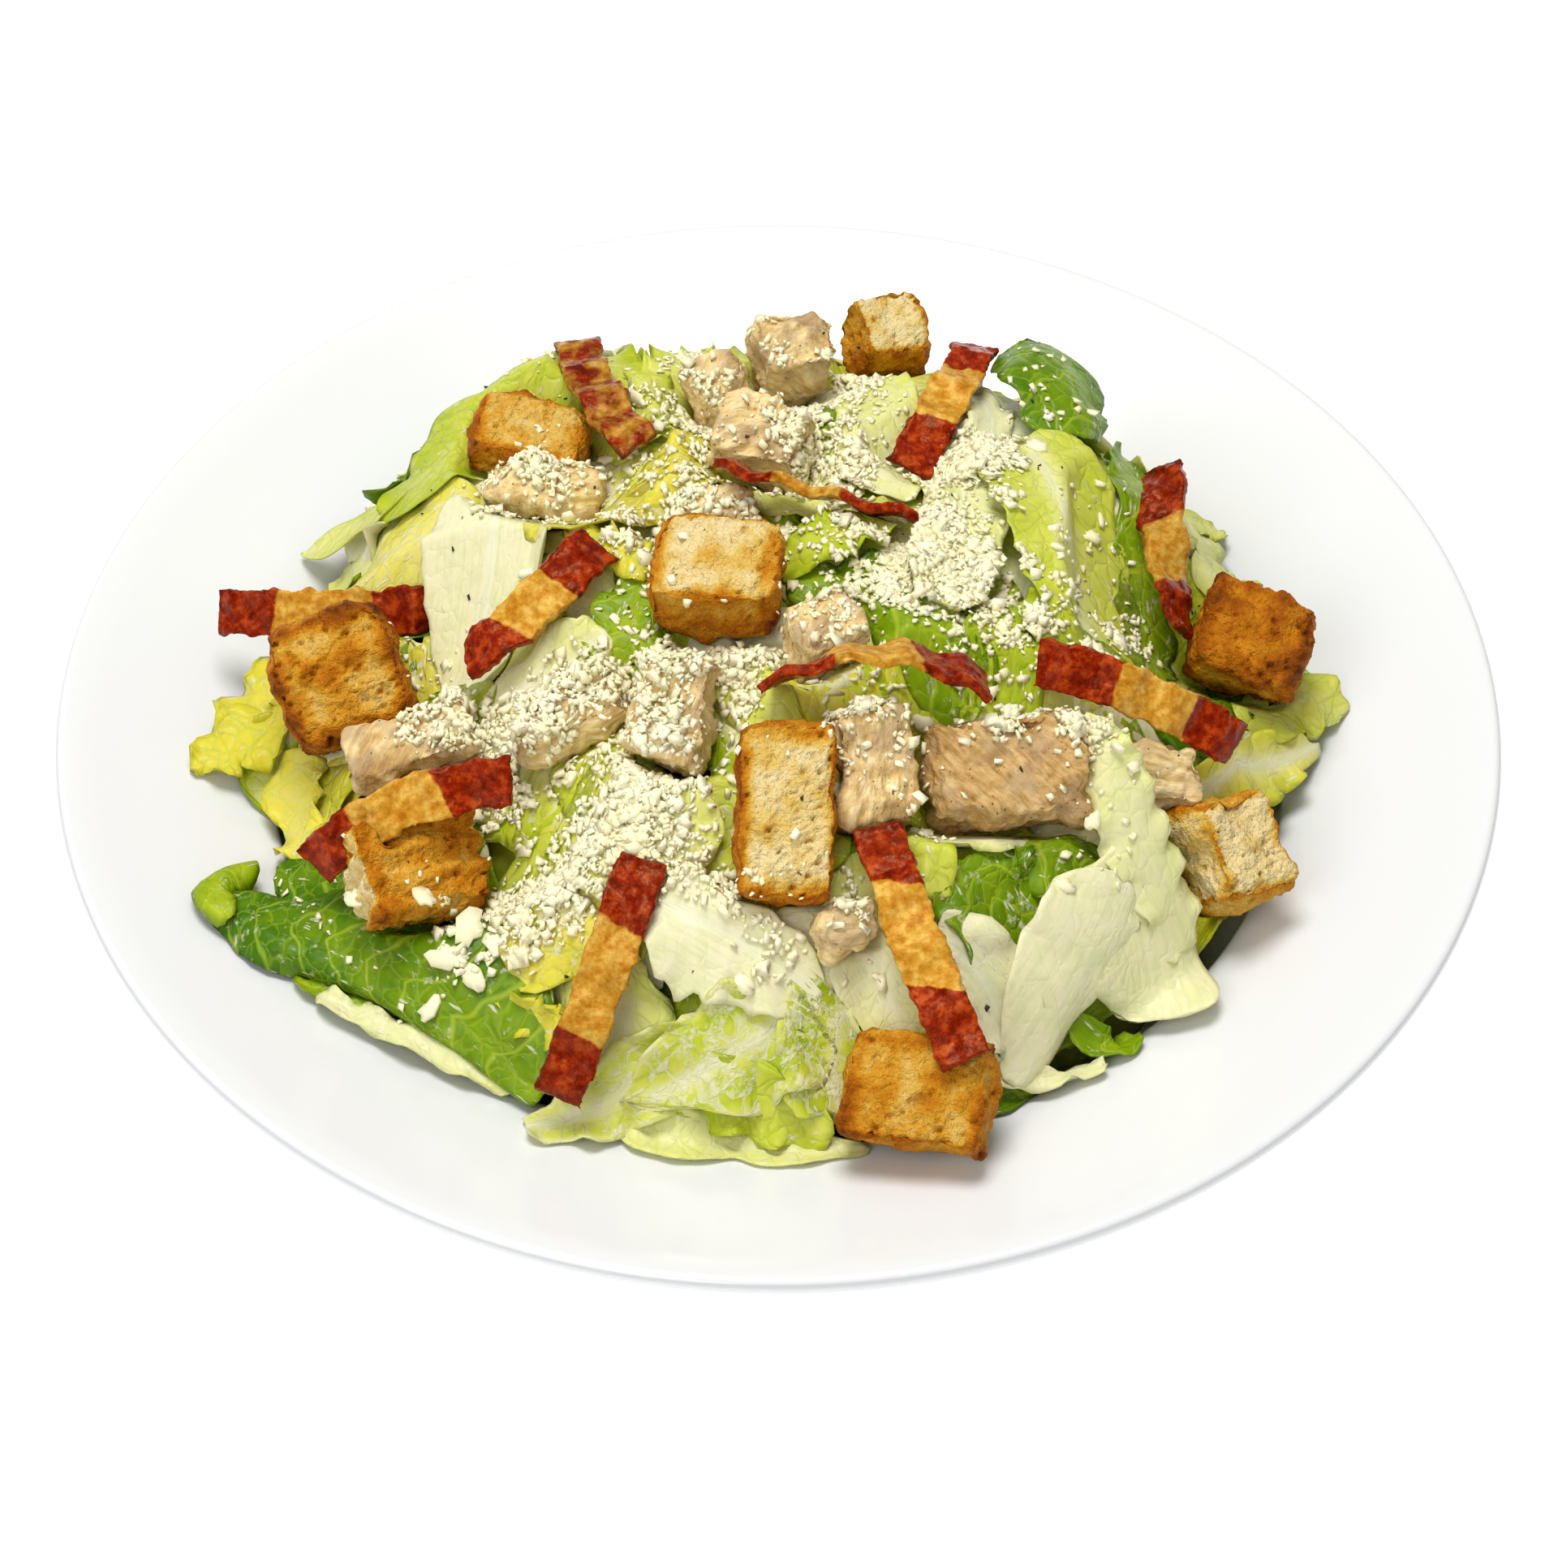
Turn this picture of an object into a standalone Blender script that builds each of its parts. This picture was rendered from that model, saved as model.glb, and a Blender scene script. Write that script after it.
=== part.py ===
"""A chicken caesar salad in a wide-rimmed white bowl: the bowl, one heap of dressed romaine that fills
its well, and every crouton, bacon strip and chicken chunk that rests on the heap.

Frame: +Z up, origin at the centre of the foot's underside. -Y is the side nearest the diner.
All the sizes below are millimetres, and MM turns them into Blender's metres."""

import math

import bmesh
import bpy
from mathutils import Euler, Vector, noise

MM = 0.001
GAP = 0.4  # clearance that resting pieces keep from each other

# ---- bowl --------------------------------------------------------------------------------------
RIM_RADIUS = 140.0
RIM_HEIGHT = 50.0
WELL_RADIUS = 100.6  # where the sloping rim turns down into the well
WELL_HEIGHT = 35.4
FLOOR_RADIUS = 56.0
FLOOR_HEIGHT = 7.5
WALL = 4.2
LIP_RADIUS = 1.7
FOOT_OUTER = 58.0
FOOT_INNER = 52.5
FOOT_HEIGHT = 2.6
WELL_ARC_END = math.radians(76)
TURNS = 48  # facets round the bowl

# ---- heap --------------------------------------------------------------------------------------
HEAP_TOP = 80.0
DOME_RADIUS = 104.0  # leaves that reach past this lie flat on the rim
HEAP_EDGE = 2.6  # thickness of the outermost leaves
HEAP_BASE = 5.0
HEAP_RINGS = 9
HEAP_SPOKES = 42
FOLD_HEIGHT = 2.6
FRONT_POWER = 2.8  # a higher power keeps the dome high for longer and then drops it more steeply
BACK_POWER = 4.0
# Outline of the heap: (direction in degrees, radius), anticlockwise from +X. Leaves reach over the
# rim in places, and in others the wall of the well stays bare.
HEAP_OUTLINE = (
    (0, 110), (20, 106), (45, 103), (70, 103), (90, 102), (112, 103), (135, 104), (152, 108),
    (164, 97), (174, 108), (184, 116), (197, 97), (210, 120), (226, 111), (240, 101), (280, 101),
    (298, 98), (312, 96), (324, 101), (340, 97), (350, 100), (360, 110),
)
# Large leaves that stand up from the dome: (x, y, rise, reach)
HEAP_SWELLS = (
    (-52, 74, 13, 34), (56, 66, 8, 28), (0, 74, 3, 24), (24, 92, 8, 18), (80, -36, 17, 28),
    (28, -93, 16, 26), (-33, -90, 10, 24), (16, -34, 8, 30), (-105, 14, 12, 20), (76, 32, 7, 20),
)

# ---- toppings: size, place of the centre, and turn in degrees about X, then Y, then Z ------------
CROUTONS = {
    "crouton_top": ((24, 20, 15), (-11, -8, 87), (8, -3, -8)),
    "crouton_left": ((23, 24, 16), (-83, -10, 62), (42, -12, 14)),
    "crouton_front_left": ((24, 19, 14), (-67, -54, 57), (22, 14, 26)),
    "crouton_slab": ((17, 32, 12), (1, -58, 78), (38, 6, 4)),
    "crouton_back_left": ((23, 15, 12), (-49, 44, 73), (8, 6, -10)),
    "crouton_back": ((15, 15, 13), (22, 89, 61), (22, 10, 22)),
    "crouton_right": ((20, 19, 18), (92, 5, 56), (28, 8, -20)),
    "crouton_front_right": ((18, 20, 15), (84, -44, 51), (34, 16, 32)),
    "crouton_front": ((26, 20, 12), (25, -99, 50), (32, -4, -12)),
}
CHICKEN = {
    "chicken_back": ((16, 14, 18), (3, 65, 76), (18, 4, 8)),
    "chicken_back_small": ((12, 11, 11), (-12, 55, 76), (10, -14, 24)),
    "chicken_behind_top": ((18, 15, 13), (-3, 34, 82), (24, 6, -16)),
    "chicken_left_back": ((22, 9, 8), (-47, 30, 73), (12, 8, -6)),
    "chicken_white": ((14, 13, 12), (8, -19, 84), (16, 10, 30)),
    "chicken_middle": ((15, 20, 15), (-19, -36, 80), (30, 4, -14)),
    "chicken_middle_left": ((22, 12, 10), (-38, -31, 75), (12, -14, 22)),
    "chicken_beside_slab": ((14, 22, 13), (17, -46, 76), (32, 8, 10)),
    "chicken_right": ((29, 20, 16), (42, -42, 71), (26, 4, 6)),
    "chicken_far_right": ((15, 12, 11), (71, -35, 60), (26, 12, 12)),
    "chicken_left": ((24, 12, 9), (-68, -29, 64), (16, -18, 12)),
    "chicken_under_top": ((17, 9, 8), (-12, 15, 80), (14, 2, 4)),
    "chicken_front_small": ((12, 9, 7), (13, -74, 64), (36, 6, 30)),
}

# ---- bacon: three points of the centreline, then which way the face looks at each end ------------
TO_DINER = (0.0, -0.69, 0.72)
UPWARD = (0.0, 0.0, 1.0)
EDGE_ON = (0.0, 0.73, 0.69)
BACON_WIDTH = 9.2
BACON_THICKNESS = 2.0
BACON_STEPS = 8
BACON = {
    "bacon_back_left": ((-41, 73, 73), (-36, 51, 80), (-27, 35, 80), UPWARD, UPWARD),
    "bacon_back_right": ((40, 69, 76), (33, 48, 80), (25, 31, 77), UPWARD, TO_DINER),
    "bacon_behind_top": ((-10, 22, 87), (5, 15, 88), (26, 11, 84), EDGE_ON, EDGE_ON),
    "bacon_far_left": ((-110, 15, 54), (-88, 11, 58), (-68, 10, 60), TO_DINER, TO_DINER),
    "bacon_left": ((-34, 2, 86), (-45, -12, 84), (-58, -18, 75), TO_DINER, UPWARD),
    "bacon_middle": ((-2, -35, 86), (18, -32, 92), (38, -32, 83), EDGE_ON, (0.5, 0.2, 0.8)),
    "bacon_right_back": ((76, 38, 72), (75, 19, 69), (78, 1, 63), (-0.6, -0.5, 0.6), (0.9, -0.4, 0.3)),
    "bacon_right": ((48, -21, 78), (65, -25, 75), (86, -26, 61), TO_DINER, TO_DINER),
    "bacon_front_left": ((-85, -54, 58), (-69, -50, 70), (-48, -47, 74), TO_DINER, TO_DINER),
    "bacon_front": ((-24, -64, 72), (-31, -85, 64), (-39, -98, 47), TO_DINER, TO_DINER),
    "bacon_front_right": ((18, -59, 75), (24, -79, 69), (33, -100, 60), TO_DINER, TO_DINER),
}

# Pieces that press on each other: each gives way to the ones listed after it.
PRESSED = {
    "chicken_far_right": ("crouton_front_right", "bacon_right"),
    "chicken_middle_left": ("chicken_middle",),
    "chicken_white": ("crouton_top",),
    "crouton_front_left": ("bacon_front_left",),
}

BLOCK_CUTS = 2
BLOCK_ROUNDING = {"crouton": 0.30, "chicken": 0.42}
BLOCK_ROUGHNESS = {"crouton": 0.9, "chicken": 1.6}

COLOURS = {
    "bowl": (0.90, 0.90, 0.87, 0.12),
    "romaine": (0.42, 0.55, 0.12, 0.35),
    "crouton": (0.72, 0.42, 0.14, 0.75),
    "bacon": (0.42, 0.06, 0.03, 0.40),
    "chicken": (0.68, 0.50, 0.36, 0.50),
}


def make_material(name):
    """A Principled material of one colour and roughness."""
    material = bpy.data.materials.new(name)
    material.use_nodes = True
    shader = material.node_tree.nodes["Principled BSDF"]
    red, green, blue, roughness = COLOURS[name]
    shader.inputs["Base Color"].default_value = (red, green, blue, 1.0)
    shader.inputs["Roughness"].default_value = roughness
    shader.inputs["Metallic"].default_value = 0.0
    return material


def make_object(name, bm, material):
    """Turns a bmesh in millimetres into a named object of flat triangles that point out, which
    keeps the cuts clean."""
    bmesh.ops.recalc_face_normals(bm, faces=bm.faces)
    bmesh.ops.triangulate(bm, faces=bm.faces)
    bmesh.ops.scale(bm, vec=(MM, MM, MM), verts=bm.verts)
    mesh = bpy.data.meshes.new(name)
    bm.to_mesh(mesh)
    bm.free()
    if material:
        mesh.materials.append(material)
    obj = bpy.data.objects.new(name, mesh)
    bpy.context.scene.collection.objects.link(obj)
    return obj


def spin_profile(profile, turns):
    """Revolves a list of (radius, height) about Z into a closed surface."""
    bm = bmesh.new()
    verts = [bm.verts.new((radius, 0.0, height)) for radius, height in profile]
    edges = [bm.edges.new(pair) for pair in zip(verts, verts[1:])]
    bmesh.ops.spin(
        bm,
        geom=verts + edges,
        cent=(0, 0, 0),
        axis=(0, 0, 1),
        dvec=(0, 0, 0),
        angle=2 * math.pi,
        steps=turns,
        use_duplicate=False,
    )
    bmesh.ops.remove_doubles(bm, verts=bm.verts, dist=1e-3)
    return bm


def well_profile(offset=0.0, steps=6):
    """The bowl's inner surface from the centre of the floor to the start of the lip, moved off the
    surface by offset."""
    floor = FLOOR_HEIGHT + offset
    points = [(0.0, floor), (FLOOR_RADIUS, floor)]
    reach = (WELL_RADIUS - FLOOR_RADIUS) / math.sin(WELL_ARC_END)
    rise = (WELL_HEIGHT - FLOOR_HEIGHT) / (1 - math.cos(WELL_ARC_END))
    for step in range(1, steps + 1):
        turn = WELL_ARC_END * step / steps
        radius = FLOOR_RADIUS + reach * math.sin(turn)
        height = FLOOR_HEIGHT + rise * (1 - math.cos(turn))
        across = Vector((-rise * math.sin(turn), reach * math.cos(turn))).normalized()
        points.append((radius + offset * across.x, height + offset * across.y))
    slope = Vector((RIM_RADIUS - WELL_RADIUS, RIM_HEIGHT - WELL_HEIGHT)).normalized()
    points.append((RIM_RADIUS - 2.0 - offset * slope.y, RIM_HEIGHT - 0.74 + offset * slope.x))
    return points


def rim_height(radius):
    """Height of the sloping rim at a radius."""
    share = (radius - WELL_RADIUS) / (RIM_RADIUS - WELL_RADIUS)
    return WELL_HEIGHT + (RIM_HEIGHT - WELL_HEIGHT) * share


def build_bowl(material):
    """The bowl: inner surface, rounded lip, underside and foot ring, revolved."""
    profile = well_profile()
    lip_centre = (RIM_RADIUS - LIP_RADIUS, RIM_HEIGHT - LIP_RADIUS)
    for degrees in (70, 25, -20, -65):
        turn = math.radians(degrees)
        profile.append((
            lip_centre[0] + LIP_RADIUS * math.cos(turn),
            lip_centre[1] + LIP_RADIUS * math.sin(turn),
        ))
    profile += [
        (WELL_RADIUS + 4.0, WELL_HEIGHT - WALL),
        (WELL_RADIUS + 0.8, WELL_HEIGHT - WALL - 6.0),
        (WELL_RADIUS - 8.0, FLOOR_HEIGHT + 5.0),
        (FOOT_OUTER + 13.0, FOOT_HEIGHT + 0.8),
        (FOOT_OUTER + 1.0, FOOT_HEIGHT),
        (FOOT_OUTER, 0.0),
        (FOOT_INNER, 0.0),
        (FOOT_INNER - 0.8, FOOT_HEIGHT),
        (0.0, FOOT_HEIGHT + 0.6),
    ]
    bowl = make_object("bowl", spin_profile(profile, TURNS), material)
    bowl.data.shade_smooth()
    bowl.data.set_sharp_from_angle(angle=math.radians(35))
    return bowl


def outline_radius(degrees):
    """Radius of the heap's outline in a direction, eased between the points of HEAP_OUTLINE."""
    at = degrees % 360
    for (low, first), (high, second) in zip(HEAP_OUTLINE, HEAP_OUTLINE[1:]):
        if low <= at <= high:
            share = (at - low) / (high - low)
            return first + (second - first) * (0.5 - 0.5 * math.cos(math.pi * share))
    raise ValueError("HEAP_OUTLINE must run from 0 to 360 degrees")


def heap_height(x, y):
    """Height of the heap's leafy top: a dome with swells, and folds that run as leaves lie."""
    radius = math.hypot(x, y)
    edge_radius = outline_radius(math.degrees(math.atan2(y, x)))
    edge = max(rim_height(radius), WELL_HEIGHT - 3.5) + HEAP_EDGE
    share = min(radius / min(edge_radius, DOME_RADIUS), 1.0)
    backward = 0.5 + 0.5 * y / max(radius, 1.0)
    power = FRONT_POWER + (BACK_POWER - FRONT_POWER) * backward
    height = edge + (HEAP_TOP - edge) * (1 - share**power)
    calm = 1 - share**8
    for centre_x, centre_y, rise, reach in HEAP_SWELLS:
        away = math.hypot(x - centre_x, y - centre_y) / reach
        height += calm * rise * math.exp(-2 * away * away)
    folds = noise.noise(Vector((x * 0.045, y * 0.06, 3.0)))
    ridges = abs(noise.noise(Vector((x * 0.09, y * 0.05, 8.0))))
    return height + FOLD_HEIGHT * calm * (folds - ridges)


def build_heap(material):
    """The heap of leaves: a domed solid with an uneven outline, down through the bowl's floor."""
    bm = bmesh.new()
    top = bm.verts.new((0, 0, heap_height(0, 0)))
    base = bm.verts.new((0, 0, HEAP_BASE))
    rings = []
    for ring in range(1, HEAP_RINGS + 1):
        row = []
        for spoke in range(HEAP_SPOKES):
            turn = 2 * math.pi * spoke / HEAP_SPOKES
            radius = outline_radius(math.degrees(turn)) * (ring / HEAP_RINGS) ** 0.85
            x, y = radius * math.cos(turn), radius * math.sin(turn)
            row.append(bm.verts.new((x, y, heap_height(x, y))))
        rings.append(row)
    rings.append([bm.verts.new((v.co.x, v.co.y, HEAP_BASE)) for v in rings[-1]])
    for spoke in range(HEAP_SPOKES):
        after = (spoke + 1) % HEAP_SPOKES
        bm.faces.new((top, rings[0][spoke], rings[0][after]))
        bm.faces.new((base, rings[-1][after], rings[-1][spoke]))
        for inner, outer in zip(rings, rings[1:]):
            bm.faces.new((inner[spoke], outer[spoke], outer[after], inner[after]))
    return make_object("salad_heap", bm, material)


def build_bowl_cutter():
    """A helper solid that fills everything under the bowl's inner surface, GAP above it."""
    profile = well_profile(offset=GAP)
    end = RIM_RADIUS + 15.0
    profile += [(end, rim_height(end) + GAP), (end, -10.0), (0.0, -10.0)]
    cutter = make_object("helper_bowl", spin_profile(profile, TURNS), None)
    hide_helper(cutter)
    return cutter


def hide_helper(obj):
    obj.hide_render = True
    obj.display_type = "WIRE"


def grow(bm, amount):
    """Moves each vertex out along its normal."""
    bmesh.ops.recalc_face_normals(bm, faces=bm.faces)
    bm.normal_update()
    for vert in bm.verts:
        vert.co += vert.normal * amount


def wobble(point):
    """A smooth random vector for a point, from three plain noise values."""
    shifts = (Vector((0, 0, 0)), Vector((31, 7, 3)), Vector((11, 43, 19)))
    return Vector([noise.noise(point + shift) for shift in shifts])


def block_mesh(kind, size, place, turn, seed):
    """A torn or cut cube of food: rounded edges, a slight taper and an uneven surface."""
    bm = bmesh.new()
    bmesh.ops.create_cube(bm, size=2.0)
    bmesh.ops.subdivide_edges(bm, edges=bm.edges, cuts=BLOCK_CUTS, use_grid_fill=True)
    rounding = BLOCK_ROUNDING[kind]
    roughness = BLOCK_ROUGHNESS[kind]
    half = Vector(size) / 2
    turned = Euler([math.radians(a) for a in turn], "XYZ").to_matrix()
    lean = wobble(Vector((seed * 3.7, 1.3, 9.1)))
    for vert in bm.verts:
        corner = vert.co.copy()
        ball = corner.normalized() * 1.22
        shape = corner.lerp(ball, rounding * max(0.0, corner.length - 1.0) / 0.73)
        shape.x *= 1 + 0.16 * lean.x * shape.z
        shape.y *= 1 + 0.16 * lean.y * shape.x
        shape.z *= 1 + 0.18 * lean.z * shape.y
        point = Vector(a * b for a, b in zip(shape, half))
        point += roughness * wobble(point * 0.11 + Vector((seed * 5.0, 0, 0)))
        vert.co = turned @ point + Vector(place)
    return bm


def bacon_frame(points, faces, share):
    """Centre, tangent, width axis and face normal of a strip at a share of its length."""
    start, middle, end = (Vector(p) for p in points)
    bow = 2 * middle - (start + end) / 2  # the curve then passes through the middle point
    centre = start * (1 - share) ** 2 + bow * 2 * share * (1 - share) + end * share**2
    tangent = ((bow - start) * (1 - share) + (end - bow) * share).normalized()
    look = Vector(faces[0]).lerp(Vector(faces[1]), share)
    normal = (look - tangent * look.dot(tangent)).normalized()
    return centre, tangent.cross(normal), normal


def bacon_mesh(points, faces, seed):
    """A fried strip: a curved ribbon with uneven long edges."""
    bm = bmesh.new()
    rows = []
    for step in range(BACON_STEPS + 1):
        share = step / BACON_STEPS
        centre, across, normal = bacon_frame(points, faces, share)
        row = []
        for side, level in ((-1, -1), (0, -1), (1, -1), (1, 1), (0, 1), (-1, 1)):
            ragged = 1 + 0.13 * noise.noise(Vector((share * 9.0, side * 4.0, seed * 2.3)))
            sideways = across * side * BACON_WIDTH / 2 * ragged
            row.append(bm.verts.new(centre + sideways + normal * level * BACON_THICKNESS / 2))
        rows.append(row)
    for row, following in zip(rows, rows[1:]):
        for k in range(6):
            after = (k + 1) % 6
            bm.faces.new((row[k], row[after], following[after], following[k]))
    bm.faces.new(rows[0][::-1])
    bm.faces.new(rows[-1])
    return bm


def build_topping(name, make, material):
    """One topping, and the helper that cuts a pocket of its shape with GAP round it."""
    obj = make_object(name, make(), material)
    larger = make()
    grow(larger, GAP)
    pocket = make_object("helper_" + name, larger, None)
    hide_helper(pocket)
    return obj, pocket


def clear_of(obj, cutters):
    """Cuts the shapes of some helpers out of an object, all at once."""
    group = bpy.data.collections.new("cutters_of_" + obj.name)
    for cutter in cutters:
        group.objects.link(cutter)
    cut = obj.modifiers.new("clearance", "BOOLEAN")
    cut.operation = "DIFFERENCE"
    cut.operand_type = "COLLECTION"
    cut.collection = group


def main():
    for obj in list(bpy.data.objects):
        bpy.data.objects.remove(obj)
    materials = {name: make_material(name) for name in COLOURS}
    build_bowl(materials["bowl"])
    bowl_cutter = build_bowl_cutter()
    toppings = {}
    pockets = {}
    for kind, table in (("crouton", CROUTONS), ("chicken", CHICKEN)):
        for name, (size, place, turn) in table.items():
            seed = len(toppings)
            toppings[name], pockets[name] = build_topping(
                name,
                lambda: block_mesh(kind, size, place, turn, seed),
                materials[kind],
            )
    for name, (start, middle, end, first, last) in BACON.items():
        seed = len(toppings)
        toppings[name], pockets[name] = build_topping(
            name,
            lambda: bacon_mesh((start, middle, end), (first, last), seed),
            materials["bacon"],
        )
    for soft, firm in PRESSED.items():
        clear_of(toppings[soft], [pockets[name] for name in firm])
    clear_of(build_heap(materials["romaine"]), [bowl_cutter, *pockets.values()])


main()
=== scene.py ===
import math

import bmesh
import bpy
import numpy as np
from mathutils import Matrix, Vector
from mathutils.bvhtree import BVHTree


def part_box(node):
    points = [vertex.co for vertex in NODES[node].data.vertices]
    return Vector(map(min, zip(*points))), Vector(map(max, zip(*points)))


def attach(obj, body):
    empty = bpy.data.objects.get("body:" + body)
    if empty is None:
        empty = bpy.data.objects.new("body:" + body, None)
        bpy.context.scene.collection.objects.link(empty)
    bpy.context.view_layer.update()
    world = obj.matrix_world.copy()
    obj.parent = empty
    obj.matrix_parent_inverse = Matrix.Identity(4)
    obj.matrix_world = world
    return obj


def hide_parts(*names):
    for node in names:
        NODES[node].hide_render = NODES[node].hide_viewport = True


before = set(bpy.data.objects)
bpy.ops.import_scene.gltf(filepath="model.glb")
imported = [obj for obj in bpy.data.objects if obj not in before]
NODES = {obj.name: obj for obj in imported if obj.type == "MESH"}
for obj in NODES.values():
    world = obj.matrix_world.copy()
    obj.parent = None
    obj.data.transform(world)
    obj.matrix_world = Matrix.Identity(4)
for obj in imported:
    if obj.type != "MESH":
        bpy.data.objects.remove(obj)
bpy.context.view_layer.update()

MM = 0.001  # shapes are worked out in millimetres and stored in metres
COARSER_SHEET = 1.0
COARSER_VOXEL = 1.0

CROUTONS = sorted(name for name in NODES if name.startswith("crouton"))
CHICKEN = sorted(name for name in NODES if name.startswith("chicken"))
BACON = sorted(name for name in NODES if name.startswith("bacon"))
BOWL_LOW, BOWL_HIGH = (np.array(corner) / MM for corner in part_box("bowl"))
RIM_RADIUS = BOWL_HIGH[0]
RIM_HEIGHT = BOWL_HIGH[2]


# ---- noise -------------------------------------------------------------------------------------

def scatter_hash(cells, seed):
    """A number from 0 to 1 for each row of whole-number cell coordinates."""
    cells = cells.astype(np.int64)
    mixed = cells[..., 0] * 374761393 + cells[..., 1] * 668265263 + cells[..., 2] * 2246822519
    mixed = (mixed + seed * 3266489917) & 0xFFFFFFFF
    mixed = ((mixed ^ (mixed >> 15)) * 2246822519) & 0xFFFFFFFF
    mixed = ((mixed ^ (mixed >> 13)) * 3266489917) & 0xFFFFFFFF
    return ((mixed ^ (mixed >> 16)) & 0xFFFFFF) / float(0xFFFFFF)


def as_3d(points):
    points = np.asarray(points, float)
    if points.shape[-1] == 3:
        return points
    flat = np.zeros(points.shape[:-1] + (3,))
    flat[..., : points.shape[-1]] = points
    return flat


def smooth_noise(points, seed=0):
    """Smooth noise from -1 to 1, with features about one unit wide."""
    points = as_3d(points)
    base = np.floor(points)
    part = points - base
    part = part * part * part * (part * (part * 6 - 15) + 10)
    total = 0.0
    for corner in np.ndindex(2, 2, 2):
        weight = np.prod([part[..., k] if c else 1 - part[..., k] for k, c in enumerate(corner)], 0)
        total = total + weight * scatter_hash(base + corner, seed)
    return total * 2 - 1


def rough_noise(points, octaves=3, seed=0):
    """Smooth noise summed over finer and finer octaves."""
    points = as_3d(points)
    return sum(
        smooth_noise(points * 2**k, seed + 17 * k) * 0.5**k for k in range(octaves)
    ) / (2 - 0.5 ** (octaves - 1))


def nearest_point(points, seed=0):
    """The distance to the nearest of one random point in each unit cell."""
    points = as_3d(points)
    base = np.floor(points)
    nearest = np.full(points.shape[:-1], 9.0)
    flat = bool(np.all(points[..., 2] == 0))
    for shift in np.ndindex(3, 3, 1 if flat else 3):
        cell = base + np.array(shift) - (1, 1, 0 if flat else 1)
        spot = np.stack([scatter_hash(cell, seed + k) for k in (1, 2, 3)], -1)
        if flat:
            spot[..., 2] = 0
        nearest = np.minimum(nearest, np.linalg.norm(cell + spot - points, axis=-1))
    return nearest


def ease(low, high, values):
    """0 below low, 1 above high and a smooth step between."""
    part = np.clip((np.asarray(values, float) - low) / (high - low), 0, 1)
    return part * part * (3 - 2 * part)


def places(*parts):
    """Points from coordinates whose shapes fit together."""
    return np.stack(np.broadcast_arrays(*parts), -1)


def unit(vectors):
    return vectors / np.maximum(np.linalg.norm(vectors, axis=-1, keepdims=True), 1e-9)


# ---- meshes ------------------------------------------------------------------------------------

def make_object(name, verts, faces, attributes, material, smooth=True):
    """A mesh object from vertices in millimetres. Each attribute is one number or three per vertex."""
    mesh = bpy.data.meshes.new(name)
    faces = np.asarray(faces, np.int32)
    mesh.vertices.add(len(verts))
    mesh.vertices.foreach_set("co", (np.asarray(verts) * MM).astype(np.float32).ravel())
    sides = faces.shape[1]
    mesh.loops.add(faces.size)
    mesh.loops.foreach_set("vertex_index", faces.ravel())
    mesh.polygons.add(len(faces))
    mesh.polygons.foreach_set("loop_start", np.arange(0, faces.size, sides, dtype=np.int32))
    mesh.update(calc_edges=True)
    for label, values in attributes.items():
        values = np.asarray(values, np.float32)
        if values.ndim == 1:
            mesh.attributes.new(label, "FLOAT", "POINT").data.foreach_set("value", values)
        else:
            mesh.attributes.new(label, "FLOAT_VECTOR", "POINT").data.foreach_set("vector", values.ravel())
    if smooth:
        mesh.shade_smooth()
    mesh.materials.append(material)
    obj = bpy.data.objects.new(name, mesh)
    bpy.context.scene.collection.objects.link(obj)
    return obj


class Pile:
    """Collects pieces of one kind, to join them as one mesh."""

    def __init__(self):
        self.verts, self.faces, self.attributes, self.count = [], [], {}, 0

    def add(self, verts, faces, **attributes):
        self.verts.append(verts)
        self.faces.append(np.asarray(faces) + self.count)
        self.count += len(verts)
        for label, values in attributes.items():
            self.attributes.setdefault(label, []).append(values)

    def build(self, name, material, smooth=True):
        attributes = {label: np.concatenate(values) for label, values in self.attributes.items()}
        return make_object(
            name, np.concatenate(self.verts), np.concatenate(self.faces), attributes, material, smooth
        )


def node_triangles(name):
    """A CAD node's vertices in millimetres and its triangles."""
    mesh = NODES[name].data
    mesh.calc_loop_triangles()
    verts = np.array([v.co for v in mesh.vertices]) / MM
    faces = np.array([t.vertices[:] for t in mesh.loop_triangles])
    return verts, faces


def sheet_border(index):
    """A grid's outer vertices, in order around it."""
    return np.concatenate([index[0, :-1], index[:-1, -1], index[-1, :0:-1], index[:0:-1, 0]])


def tree_of(pieces):
    """One search tree over several (vertices, faces) pairs."""
    verts, faces, count = [], [], 0
    for points, polygons in pieces:
        verts.append(points)
        faces += (np.asarray(polygons) + count).tolist()
        count += len(points)
    return BVHTree.FromPolygons(np.concatenate(verts).tolist(), faces)


def tree_of_nodes(*names):
    return tree_of([node_triangles(name) for name in names])


# ---- heights over the bowl, on a square grid -----------------------------------------------------

CELL = 1.5
REACH = 141.0
AXIS = np.arange(-REACH, REACH + CELL / 2, CELL)
DOWN = Vector((0, 0, -1))
UP = Vector((0, 0, 1))
SKY = 200.0  # above everything
OVER_FOOD = 130.0  # where rays that look for the top of the food start


def heights(tree, start, direction, missing):
    """Where a vertical ray in each grid cell first meets a tree."""
    grid = np.full((len(AXIS), len(AXIS)), missing)
    for i, x in enumerate(AXIS):
        for j, y in enumerate(AXIS):
            hit = tree.ray_cast(Vector((x, y, start)), direction)[0]
            if hit is not None:
                grid[i, j] = hit.z
    return grid


def blur(grid, times):
    for _ in range(times):
        padded = np.pad(grid, 1, mode="edge")
        grid = (padded[:-2, 1:-1] + padded[2:, 1:-1] + 2 * grid) / 4
        padded = np.pad(grid, 1, mode="edge")
        grid = (padded[1:-1, :-2] + padded[1:-1, 2:] + 2 * grid) / 4
    return grid


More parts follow.
